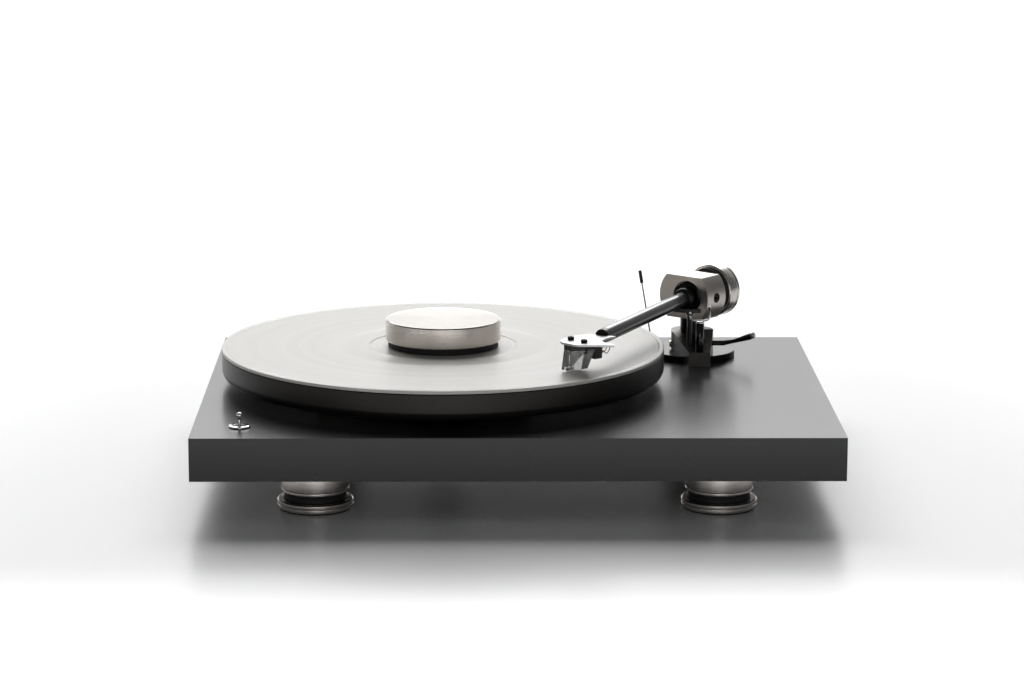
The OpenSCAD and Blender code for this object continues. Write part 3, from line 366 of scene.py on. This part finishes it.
node_look = {
    "plinth": "lacquer", "foot_studs": "zinc", "foot_bodies": "foot_nickel", "foot_dampers": "rubber",
    "foot_bases": "foot_nickel", "foot_pads": "rubber", "bearing_housing": "bearing_steel",
    "bearing_bushes": "bronze", "thrust_ball": "chrome", "housing_nut": "zinc", "motor_can": "motor_steel",
    "motor_plate": "zinc", "motor_shaft": "ground_steel", "pulley": "bronze", "drive_belt": "belt",
    "circuit_board": "green", "bottom_cover": "moulded_black", "panel_screws": "zinc",
    "toggle_body": "moulded_black", "toggle_nut": "chrome", "toggle_lever": "chrome",
    "terminal_plate": "moulded_black", "phono_barrels": "gold", "phono_insulators": "moulded_ivory",
    "ground_post": "gold", "dc_socket": "moulded_black", "spindle": "bearing_steel",
    "subplatter": "moulded_black", "platter": "platter_black", "puck_body": "puck_nickel",
    "puck_base": "rubber", "arm_base": "gloss_black", "arm_base_screws": "zinc", "arm_mount": "gunmetal",
    "clamp_screw": "cream_gold", "arm_pillar": "black_anodised", "pillar_bearings": "ground_steel",
    "pillar_spindle": "ground_steel", "rest_post": "gloss_black", "rest_clip": "chrome",
    "skate_stalk": "stalk", "skate_tip": "moulded_black", "cue_lever": "satin_black",
    "cue_tip": "light_tip", "lift_bar": "satin_black", "bearing_block": "block_nickel",
    "block_screws": "black_oxide", "arm_gimbal": "black_anodised", "arm_tube": "carbon",
    "shell_collar": "olive_dark", "headshell": "silver", "cartridge_body": "moulded_black",
    "stylus_holder": "smoked", "cantilever": "silver", "cartridge_screws": "black_oxide",
    "cartridge_pins": "gold", "counterweight": "weight_nickel", "weight_damper": "rubber",
}
mat_low, mat_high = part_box("platter_mat")
label_edge = 50 * MM
dead_wax = 70 * MM
groove_end = 146.5 * MM
look["pale_disc"] = mat_gloss(label_edge + 1 * MM, groove_end)
node_look["platter_mat"] = "pale_disc"


def wear(thing, finish):
    thing.data.materials.clear()
    thing.data.materials.append(look[finish])


for name, thing in nodes.items():
    wear(thing, node_look[name])

body_of = {n: b for b, members in frame["record"]["behaviour"]["bodies"].items() for n in members}


# ---------------------------------------------------------------- making pieces

def hand_over(piece, node, hides=True):
    """A finished piece rides with its node's body; the node itself is hidden unless hides is false."""
    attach(piece, body_of[node])
    if hides:
        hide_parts(node)
    return piece


TURNED_CREASE = 28.0


def from_bmesh(name, bm, finish, crease):
    mesh = bpy.data.meshes.new(name)
    bm.to_mesh(mesh)
    bm.free()
    mesh.polygons.foreach_set("use_smooth", [True] * len(mesh.polygons))
    mesh.set_sharp_from_angle(angle=math.radians(crease))
    piece = bpy.data.objects.new(name, mesh)
    bpy.context.scene.collection.objects.link(piece)
    mesh.materials.append(look[finish])
    return piece


def set_down(piece):
    """Turns what the modifiers make into the piece's own plain mesh."""
    graph = bpy.context.evaluated_depsgraph_get()
    mesh = bpy.data.meshes.new_from_object(piece.evaluated_get(graph))
    piece.modifiers.clear()
    piece.data = mesh
    return piece


def machined(node, name, edge):
    """The node's own shape with its edges broken by a small round, as a mill or mould leaves them."""
    corner, steps = math.radians(32.0), 2
    bm = bmesh.new()
    bm.from_mesh(nodes[node].data)
    bmesh.ops.remove_doubles(bm, verts=bm.verts, dist=0.002 * MM)
    bmesh.ops.dissolve_limit(bm, angle_limit=math.radians(0.8), verts=bm.verts, edges=bm.edges)
    if edge:
        sharp = [e for e in bm.edges if e.is_manifold and e.calc_face_angle(0.0) > corner]
        bmesh.ops.bevel(bm, geom=sharp, offset=edge * MM, offset_type="OFFSET", segments=steps,
                        profile=0.5, affect="EDGES", clamp_overlap=True)
    piece = from_bmesh(name, bm, node_look[node], 50.0 if edge else 32.0)
    if edge:
        weighted = piece.modifiers.new("even_shading", "WEIGHTED_NORMAL")
        weighted.keep_sharp = True
        set_down(piece)
    return hand_over(piece, node)


def rounded(points, radius, steps=4):
    """A profile with each inner corner rounded; points are (out, along)."""
    made = [Vector(points[0])]
    for before, corner, after in zip(points, points[1:], points[2:]):
        a, c, b = Vector(before), Vector(corner), Vector(after)
        reach = min(radius, (a - c).length * 0.45, (b - c).length * 0.45)
        start, end = c + (a - c).normalized() * reach, c + (b - c).normalized() * reach
        for i in range(steps + 1):
            t = i / steps
            made.append(start * (1 - t) ** 2 + c * 2 * t * (1 - t) + end * t ** 2)
    made.append(Vector(points[-1]))
    return made


def lathe_mesh(profile, centre, axis, segments):
    """Spins a profile of (out, along) points about an axis; an end on the axis closes there."""
    side = axis.orthogonal().normalized()
    other = axis.cross(side)
    bm = bmesh.new()
    loops = []
    for out, along in profile:
        if out < 1e-7:
            loops.append([bm.verts.new(centre + axis * along)])
            continue
        loops.append([bm.verts.new(centre + axis * along + (side * math.cos(t) + other * math.sin(t)) * out)
                      for t in (2 * math.pi * k / segments for k in range(segments))])
    closed = profile[0][0] > 1e-7
    pairs = list(zip(loops, loops[1:])) + ([(loops[-1], loops[0])] if closed else [])
    for low, high in pairs:
        for k in range(segments):
            n = (k + 1) % segments
            corners = [low[k % len(low)], low[n % len(low)], high[n % len(high)], high[k % len(high)]]
            corners = list(dict.fromkeys(corners))
            if len(corners) > 2:
                bm.faces.new(corners)
    bmesh.ops.recalc_face_normals(bm, faces=bm.faces)
    return bm


def turned_piece(name, node, profile, centre, axis=UP, segments=160, finish=None, hides=True):
    bm = lathe_mesh(profile, centre, axis, segments)
    return hand_over(from_bmesh(name, bm, finish or node_look[node], TURNED_CREASE), node, hides)


def span(node, origin, axis):
    """Where a node starts and ends along an axis, and its greatest distance from it."""
    ends, reach = [], 0.0
    for v in nodes[node].data.vertices:
        out = v.co - origin
        along = out.dot(axis)
        ends.append(along)
        reach = max(reach, (out - axis * along).length)
    return min(ends), max(ends), reach


# ---------------------------------------------------------------- geometry node trees

def new_tree(name, inputs):
    tree = bpy.data.node_groups.new(name, "GeometryNodeTree")
    tree.interface.new_socket("Geometry", in_out="INPUT", socket_type="NodeSocketGeometry")
    for label, kind in inputs:
        tree.interface.new_socket(label, in_out="INPUT", socket_type=kind)
    tree.interface.new_socket("Geometry", in_out="OUTPUT", socket_type="NodeSocketGeometry")
    start, end = tree.nodes.new("NodeGroupInput"), tree.nodes.new("NodeGroupOutput")
    return tree, start, end


def add(tree, kind, settings=None, sockets=None):
    made = tree.nodes.new(kind)
    for key, value in (settings or {}).items():
        setattr(made, key, value)
    for key, value in (sockets or {}).items():
        if isinstance(value, bpy.types.NodeSocket):
            tree.links.new(value, made.inputs[key])
        else:
            made.inputs[key].default_value = value
    return made


def finish_tree(tree, geometry, start, end):
    real = add(tree, "GeometryNodeRealizeInstances", None, {"Geometry": geometry})
    dressed = add(tree, "GeometryNodeSetMaterial", None,
                  {"Geometry": real.outputs[0], "Material": start.outputs["Finish"]})
    tree.links.new(dressed.outputs[0], end.inputs[0])
    return tree


def four_corners_tree():
    """Repeats a shape at the four corners of a rectangle."""
    tree, start, end = new_tree("four_corners", [("Across", "NodeSocketFloat"), ("Deep", "NodeSocketFloat"),
                                                 ("Finish", "NodeSocketMaterial")])
    grid = add(tree, "GeometryNodeMeshGrid", None,
               {"Size X": start.outputs["Across"], "Size Y": start.outputs["Deep"],
                "Vertices X": 2, "Vertices Y": 2})
    placed = add(tree, "GeometryNodeInstanceOnPoints", None,
                 {"Points": grid.outputs["Mesh"], "Instance": start.outputs["Geometry"]})
    return finish_tree(tree, placed.outputs[0], start, end)


def wire_tree():
    """Draws a round wire along a path."""
    tree, start, end = new_tree("round_wire", [("Thickness", "NodeSocketFloat"), ("Sides", "NodeSocketInt"),
                                               ("Steps", "NodeSocketInt"), ("Finish", "NodeSocketMaterial")])
    path = add(tree, "GeometryNodeMeshToCurve", None, {"Mesh": start.outputs["Geometry"]})
    smooth = add(tree, "GeometryNodeCurveSplineType", {"spline_type": "CATMULL_ROM"},
                 {"Curve": path.outputs[0]})
    even = add(tree, "GeometryNodeResampleCurve", None,
               {"Curve": smooth.outputs[0], "Count": start.outputs["Steps"]})
    half = add(tree, "ShaderNodeMath", {"operation": "MULTIPLY"}, {0: start.outputs["Thickness"], 1: 0.5})
    circle = add(tree, "GeometryNodeCurvePrimitiveCircle", None,
                 {"Resolution": start.outputs["Sides"], "Radius": half.outputs[0]})
    swept = add(tree, "GeometryNodeCurveToMesh", None,
                {"Curve": even.outputs[0], "Profile Curve": circle.outputs[0], "Fill Caps": True})
    return finish_tree(tree, swept.outputs[0], start, end)


def groove_tree():
    """Presses concentric grooves into the top of a disc between two radii."""
    tree, start, end = new_tree("pressed_grooves", [
        ("Centre", "NodeSocketVector"), ("Top", "NodeSocketFloat"), ("From", "NodeSocketFloat"),
        ("To", "NodeSocketFloat"), ("Pitch", "NodeSocketFloat"), ("Depth", "NodeSocketFloat"),
        ("Finish", "NodeSocketMaterial")])
    place = add(tree, "GeometryNodeInputPosition")
    out = add(tree, "ShaderNodeVectorMath", {"operation": "SUBTRACT"},
              {0: place.outputs[0], 1: start.outputs["Centre"]})
    flat = add(tree, "ShaderNodeVectorMath", {"operation": "MULTIPLY"}, {0: out.outputs[0], 1: (1, 1, 0)})
    radius = add(tree, "ShaderNodeVectorMath", {"operation": "LENGTH"}, {0: flat.outputs[0]})
    r = radius.outputs["Value"]
    height = add(tree, "ShaderNodeSeparateXYZ", None, {0: place.outputs[0]})

    def maths(operation, a, b=0.0):
        return add(tree, "ShaderNodeMath", {"operation": operation}, {0: a, 1: b}).outputs[0]

    turns = maths("MULTIPLY", maths("DIVIDE", r, start.outputs["Pitch"]), 2 * math.pi)
    wave = maths("MULTIPLY", maths("SUBTRACT", 1.0, maths("COSINE", turns)), -0.5)
    inside = maths("MULTIPLY", maths("GREATER_THAN", r, start.outputs["From"]),
                   maths("LESS_THAN", r, start.outputs["To"]))
    top = maths("GREATER_THAN", height.outputs["Z"], maths("SUBTRACT", start.outputs["Top"], 0.00002))
    drop = maths("MULTIPLY", maths("MULTIPLY", maths("MULTIPLY", wave, inside), top), start.outputs["Depth"])
    shift = add(tree, "ShaderNodeCombineXYZ", None, {"Z": drop})
    moved = add(tree, "GeometryNodeSetPosition", None,
                {"Geometry": start.outputs["Geometry"], "Offset": shift.outputs[0]})
    return finish_tree(tree, moved.outputs[0], start, end)


def grow(piece, tree, **inputs):
    """Runs a tree on a piece with its inputs set, and keeps the result as plain mesh."""
    modifier = piece.modifiers.new(tree.name, "NODES")
    modifier.node_group = tree
    sockets = {s.name: s.identifier for s in tree.interface.items_tree
               if s.item_type == "SOCKET" and s.in_out == "INPUT"}
    for label, value in inputs.items():
        modifier[sockets[label]] = value
    set_down(piece)
    return piece


corners_of_four = four_corners_tree()
round_wire = wire_tree()
pressed_grooves = groove_tree()


# ---------------------------------------------------------------- feet

def foot_piece(name, node, profile):
    bm = lathe_mesh(profile, Vector((0, 0, 0)), UP, 96)
    piece = from_bmesh(name, bm, node_look[node], TURNED_CREASE)
    grow(piece, corners_of_four, Across=2 * foot_axis.x, Deep=2 * foot_axis.y, Finish=look[node_look[node]])
    return hand_over(piece, node)


def feet():
    low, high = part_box("foot_bodies")
    r = high.x - foot_axis.x
    groove, step = 0.35 * MM, 2.4 * MM
    profile = [(0, low.z), (r - 0.6 * MM, low.z), (r, low.z + 0.6 * MM)]
    for at in (low.z + step, high.z - step):
        profile += [(r, at - groove), (r - groove, at), (r, at + groove)]
    profile += [(r, high.z - 0.6 * MM), (r - 0.6 * MM, high.z), (0, high.z)]
    foot_piece("foot_barrels", "foot_bodies", rounded(profile, 0.15 * MM, 2))

    low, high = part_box("foot_bases")
    r = high.x - foot_axis.x
    mid = (low.z + high.z) / 2
    foot_piece("foot_rings", "foot_bases", rounded([
        (0, low.z), (r - 0.9 * MM, low.z), (r, low.z + 0.9 * MM), (r, mid - 0.4 * MM), (r - 0.4 * MM, mid),
        (r, mid + 0.4 * MM), (r, high.z - 0.9 * MM), (r - 0.9 * MM, high.z), (0, high.z)], 0.25 * MM, 3))

    low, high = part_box("foot_dampers")
    r = high.x - foot_axis.x
    waist = (low.z + high.z) / 2
    foot_piece("foot_damping_rings", "foot_dampers", rounded([
        (0, low.z), (r, low.z), (r - 0.9 * MM, waist), (r, high.z), (0, high.z)], 0.8 * MM, 4))

    low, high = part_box("foot_pads")
    r = high.x - foot_axis.x
    foot_piece("foot_soles", "foot_pads", rounded([
        (0, low.z), (r - 0.2 * MM, low.z), (r, low.z + 0.4 * MM), (r, high.z), (0, high.z)], 0.2 * MM, 3))


# ---------------------------------------------------------------- platter, disc and puck

def platter():
    low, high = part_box("platter")
    r = (high.x - low.x) / 2
    skirt, web, bore = 18 * MM, 6 * MM, 5 * MM
    under = 4.6 * MM
    profile = [(bore, high.z - web), (r - skirt, high.z - web), (r - skirt, low.z), (r - under, low.z),
               (r - under * 0.6, low.z + 0.7 * MM), (r - under * 0.22, low.z + 2.4 * MM),
               (r, low.z + under + 0.4 * MM), (r, high.z - 0.5 * MM), (r - 0.5 * MM, high.z), (bore, high.z)]
    turned_piece("platter_rim", "platter", rounded(profile, 0.9 * MM, 5), spindle, segments=288)


def grooved_disc():
    low, high = mat_low, mat_high
    r = (high.x - low.x) / 2
    bore, recess = 3.6 * MM, 0.4 * MM
    pitch, steps = 1.6 * MM, 4
    edge = 0.3 * MM
    first, last = dead_wax, r - 4.2 * MM
    rings = int((last - first) / pitch) * steps
    profile = [(bore, low.z), (r - edge, low.z), (r, low.z + edge), (r, high.z - edge), (r - edge, high.z),
               (r - 2.2 * MM, high.z), (r - 2.7 * MM, high.z - 0.25 * MM), (r - 3.4 * MM, high.z - 0.25 * MM),
               (r - 3.8 * MM, high.z)]
    profile += [(last - (last - first) * k / rings, high.z) for k in range(rings + 1)]
    profile += [(dead_wax - 0.3 * MM, high.z - 0.12 * MM), (label_edge + 1.4 * MM, high.z - 0.12 * MM),
                (label_edge + 1 * MM, high.z), (label_edge, high.z), (label_edge - recess, high.z - recess),
                (bore, high.z - recess)]
    bm = lathe_mesh(profile, spindle, UP, 224)
    piece = from_bmesh("grooved_disc", bm, "pale_disc", 40.0)
    grow(piece, pressed_grooves, Centre=tuple(spindle), Top=high.z, From=first, To=last, Pitch=pitch,
         Depth=0.05 * MM, Finish=look["pale_disc"])
    hand_over(piece, "platter_mat")


def puck():
    low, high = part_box("puck_body")
    r = (high.x - low.x) / 2
    bore = 3.75 * MM
    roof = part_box("spindle")[1].z + 1 * MM
    edge = 0.8 * MM
    dish = 0.15 * MM
    turned_piece("puck_barrel", "puck_body", rounded([
        (0, roof), (bore, roof), (bore, low.z), (r - edge, low.z), (r, low.z + edge), (r, high.z - edge),
        (r - edge, high.z), (r - edge - 1.2 * MM, high.z), (r - edge - 1.6 * MM, high.z - dish),
        (0, high.z - dish)], 0.2 * MM, 3), spindle, segments=224)
    low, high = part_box("puck_base")
    r = (high.x - low.x) / 2
    turned_piece("puck_sole", "puck_base", rounded([
        (bore, low.z), (r - 0.3 * MM, low.z), (r, low.z + 0.3 * MM), (r - 0.25 * MM, (low.z + high.z) / 2),
        (r, high.z - 0.1 * MM), (bore, high.z)], 0.3 * MM, 3), spindle, segments=192)


# ---------------------------------------------------------------- tonearm

def tonearm():
    start, end, r = span("arm_tube", pivot, tube_way)
    wall = 0.8 * MM
    turned_piece("carbon_tube", "arm_tube", rounded([
        (r - wall, start), (r - wall, end), (r, end), (r, start)], 0.25 * MM, 3),
        pivot, tube_way, segments=96)

    start, end, r = span("counterweight", pivot, block_way)
    r -= 0.01 * MM
    hollow, stub = r - 2.5 * MM, 4.55 * MM
    ledge = end - 2.5 * MM
    ring = 0.4 * MM
    turned_piece("balance_ring", "counterweight", rounded([
        (0, ledge), (stub, ledge), (stub, start + 1 * MM), (hollow, start + 1 * MM), (hollow, start),
        (r - 0.7 * MM, start), (r, start + 0.7 * MM), (r, end - 3.2 * MM), (r - ring, end - 2.9 * MM),
        (r, end - 2.6 * MM), (r, end - 0.7 * MM), (r - 0.7 * MM, end), (r * 0.55, end),
        (r * 0.5, end - 0.5 * MM), (0, end - 0.5 * MM)], 0.25 * MM, 3), pivot, block_way, segments=128)


def head_place(across, ahead, up):
    """A point in the cartridge's own frame: across to the right, ahead towards the stylus, and up."""
    screws_reach, screws_left = 190.35 * MM, 6.65 * MM
    right = Vector((math.cos(tube_heading), -math.sin(tube_heading), 0))
    screws = pivot + tube_way * screws_reach - right * screws_left
    across_way = Vector((math.cos(head_heading), -math.sin(head_heading), 0))
    ahead_way = Vector((-math.sin(head_heading), -math.cos(head_heading), 0))
    return screws + across_way * across * MM + ahead_way * ahead * MM + UP * up * MM


def cartridge_leads():
    """Four thin leads from the cartridge's pins, looping back into the collar, each with its clip."""
    colours = [("white_lead", (0.72, 0.72, 0.7)), ("red_lead", (0.5, 0.03, 0.025)),
               ("green_lead", (0.03, 0.24, 0.08)), ("blue_lead", (0.03, 0.08, 0.42))]
    pin_up, pin_root, pin_end = -7.5, -15.0, -18.6
    collar_reach, collar_drop = 167 * MM, 1.4 * MM
    lead_pitch = 3.6
    collar = pivot + tube_way * collar_reach - UP * collar_drop
    for k, (name, colour) in enumerate(colours):
        look[name] = wire_sleeve(name, colour)
        across = lead_pitch * (k - 1.5)
        start = head_place(across, pin_end, pin_up)
        path = [start, head_place(across, -21.5, pin_up - 0.6 - 0.3 * k),
                head_place(across * 0.75, -25.0, pin_up + 1.6),
                collar.lerp(head_place(across * 0.5, -22.0, -3.5), 0.45) - UP * (1.2 - 0.2 * k) * MM,
                collar + tube_way * 2.5 * MM + Vector((0.6 * (k - 1.5) * MM, 0, -0.4 * MM)),
                collar + Vector((0.5 * (k - 1.5) * MM, 0, 0.3 * MM))]
        mesh = bpy.data.meshes.new(name)
        mesh.from_pydata([tuple(p) for p in path], [(i, i + 1) for i in range(len(path) - 1)], [])
        lead = bpy.data.objects.new("cartridge_" + name, mesh)
        bpy.context.scene.collection.objects.link(lead)
        grow(lead, round_wire, Thickness=0.55 * MM, Sides=10, Steps=48, Finish=look[name])
        lead.data.polygons.foreach_set("use_smooth", [True] * len(lead.data.polygons))
        hand_over(lead, "cartridge_pins", hides=False)
        root = head_place(across, pin_root, pin_up)
        back = (start - root).normalized()
        clip = turned_piece("lead_clip_" + str(k + 1), "cartridge_pins", rounded([
            (0, 0), (0.85 * MM, 0), (1.0 * MM, 0.8 * MM), (1.0 * MM, 3.0 * MM), (0.5 * MM, 3.9 * MM),
            (0, 3.9 * MM)],
            0.15 * MM, 2), root, back, 24, "gold", hides=False)
        clip.data.materials.clear()
        clip.data.materials.append(look["gold"])


EDGES = {
    "plinth": ("plinth_board", 0.5), "arm_mount": ("arm_yoke", 0.35), "bearing_block": ("arm_block", 0.45),
    "headshell": ("shell_plate", 0.2), "cartridge_body": ("cartridge_case", 0.25),
    "stylus_holder": ("stylus_guard", 0.22), "arm_base": ("arm_base_disc", 0.0),
    "block_screws": ("pivot_screws", 0.0), "arm_gimbal": ("arm_yoke_sleeve", 0.0),
    "shell_collar": ("collar_nose", 0.15), "arm_pillar": ("pillar_column", 0.0),
    "rest_post": ("rest_column", 0.0),
    "rest_clip": ("rest_wire", 0.0), "cue_lever": ("cue_arm", 0.0), "cue_tip": ("cue_knob", 0.0),
    "lift_bar": ("lift_rail", 0.25), "toggle_nut": ("dress_nut", 0.0), "toggle_lever": ("switch_bat", 0.0),
    "clamp_screw": ("clamp_head", 0.0), "cartridge_screws": ("shell_screws", 0.0),
    "skate_stalk": ("stalk_wire", 0.0), "skate_tip": ("stalk_sleeve", 0.0),
    "terminal_plate": ("socket_panel", 0.2), "bottom_cover": ("cover_panel", 0.2),
    "housing_nut": ("locking_nut", 0.3), "dc_socket": ("power_socket", 0.15),
    "phono_barrels": ("signal_sockets", 0.12), "ground_post": ("earth_stud", 0.12),
}

feet()
platter()
grooved_disc()
puck()
tonearm()
cartridge_leads()
for node, (name, edge) in EDGES.items():
    machined(node, name, edge)


# ---------------------------------------------------------------- stage

def sweep():
    """White paper: flat under the player, rising in a wide curve behind it, and glowing as painted light
    everywhere but round the player.
    """
    start, flat_end, curve, top = -4.0, 1.9, 0.9, 3.6
    profile = [(start, 0.0), (flat_end, 0.0)]
    profile += [(flat_end + curve * math.sin(t), curve * (1 - math.cos(t)))
                for t in (math.pi / 2 * k / 16 for k in range(1, 17))]
    profile.append((flat_end + curve, top))
    half = 5.0
    bm = bmesh.new()
    rows = [[bm.verts.new((x, y, z)) for x in (-half, half)] for y, z in profile]
    for low, high in zip(rows, rows[1:]):
        bm.faces.new([low[0], low[1], high[1], high[0]])
    mesh = bpy.data.meshes.new("paper_sweep")
    bm.to_mesh(mesh)
    bm.free()
    mesh.polygons.foreach_set("use_smooth", [True] * len(mesh.polygons))
    thing = bpy.data.objects.new("paper_sweep", mesh)
    bpy.context.scene.collection.objects.link(thing)
    s = Shade("glowing_white_paper")
    side, back, _ = s.parts(s.place)
    # The glow is painted light: the paper shines like a lamp behind the player, on the floor ahead of it and off
    # to its sides. Round the player it has no glow, so the dark there is partly the key light's real shadow and
    # partly painted shade.
    behind = back.ramp(0.35, 1.5) * (1.0 - abs(side).ramp(0.75, 1.6) * 0.85)
    ahead = (0.0 - back).ramp(0.24, 0.5) * 0.85
    flanks = abs(side).ramp(0.26, 0.5) * (1.0 - back.ramp(0.3, 0.8)) * 0.15
    painted_light_glow = behind + ahead + flanks
    s.set(Base_Color=(0.93, 0.93, 0.93), Roughness=0.3, Emission_Strength=1.0,
          Emission_Color=s.mix(painted_light_glow, (0.0, 0.0, 0.0), (1.0, 1.0, 1.0)))
    mesh.materials.append(s.material)


def softbox(name, place, towards, size, power):
    data = bpy.data.lights.new(name, "AREA")
    data.shape = "RECTANGLE"
    data.size, data.size_y = size
    data.energy = power
    lamp = bpy.data.objects.new(name, data)
    lamp.location = place
    lamp.rotation_euler = (Vector(towards) - Vector(place)).to_track_quat("-Z", "Y").to_euler()
    lamp.visible_camera = False
    bpy.context.scene.collection.objects.link(lamp)


def studio():
    softbox("key_above_and_behind", (-0.15, 1.35, 1.25), (0.0, -0.05, 0.0), (2.0, 1.1), 30.0)
    softbox("low_front_strip", (0.1, -1.6, 0.3), (0.05, 0.0, 0.02), (1.0, 0.22), 1.3)
    world = bpy.data.worlds.new("studio")
    bpy.context.scene.world = world
    world.use_nodes = True
    tree = world.node_tree
    tree.nodes.clear()
    room = add(tree, "ShaderNodeBackground", None, {"Color": (0.97, 0.98, 1.0, 1), "Strength": 0.1})
    add(tree, "ShaderNodeOutputWorld", None, {"Surface": room.outputs[0]})
    bpy.context.scene.view_settings.view_transform = "Standard"


def camera():
    data = bpy.data.cameras.new("camera")
    data.lens = 113.22
    data.sensor_width = 36.0
    eye = bpy.data.objects.new("camera", data)
    bpy.context.scene.collection.objects.link(eye)
    stand_point = (-0.0319, -2.1317, 0.5194)
    pitch, yaw, roll = math.radians(11.53), math.radians(0.804), math.radians(0.128)
    ahead = Vector((math.sin(yaw) * math.cos(pitch), math.cos(yaw) * math.cos(pitch), -math.sin(pitch)))
    right = Vector((math.cos(yaw), -math.sin(yaw), 0))
    up = right.cross(ahead)
    right, up = (right * math.cos(roll) + up * math.sin(roll), up * math.cos(roll) - right * math.sin(roll))
    turned = Matrix((right, up, -ahead)).transposed().to_4x4()
    eye.matrix_world = Matrix.Translation(stand_point) @ turned
    bpy.context.scene.camera = eye


sweep()
studio()
camera()
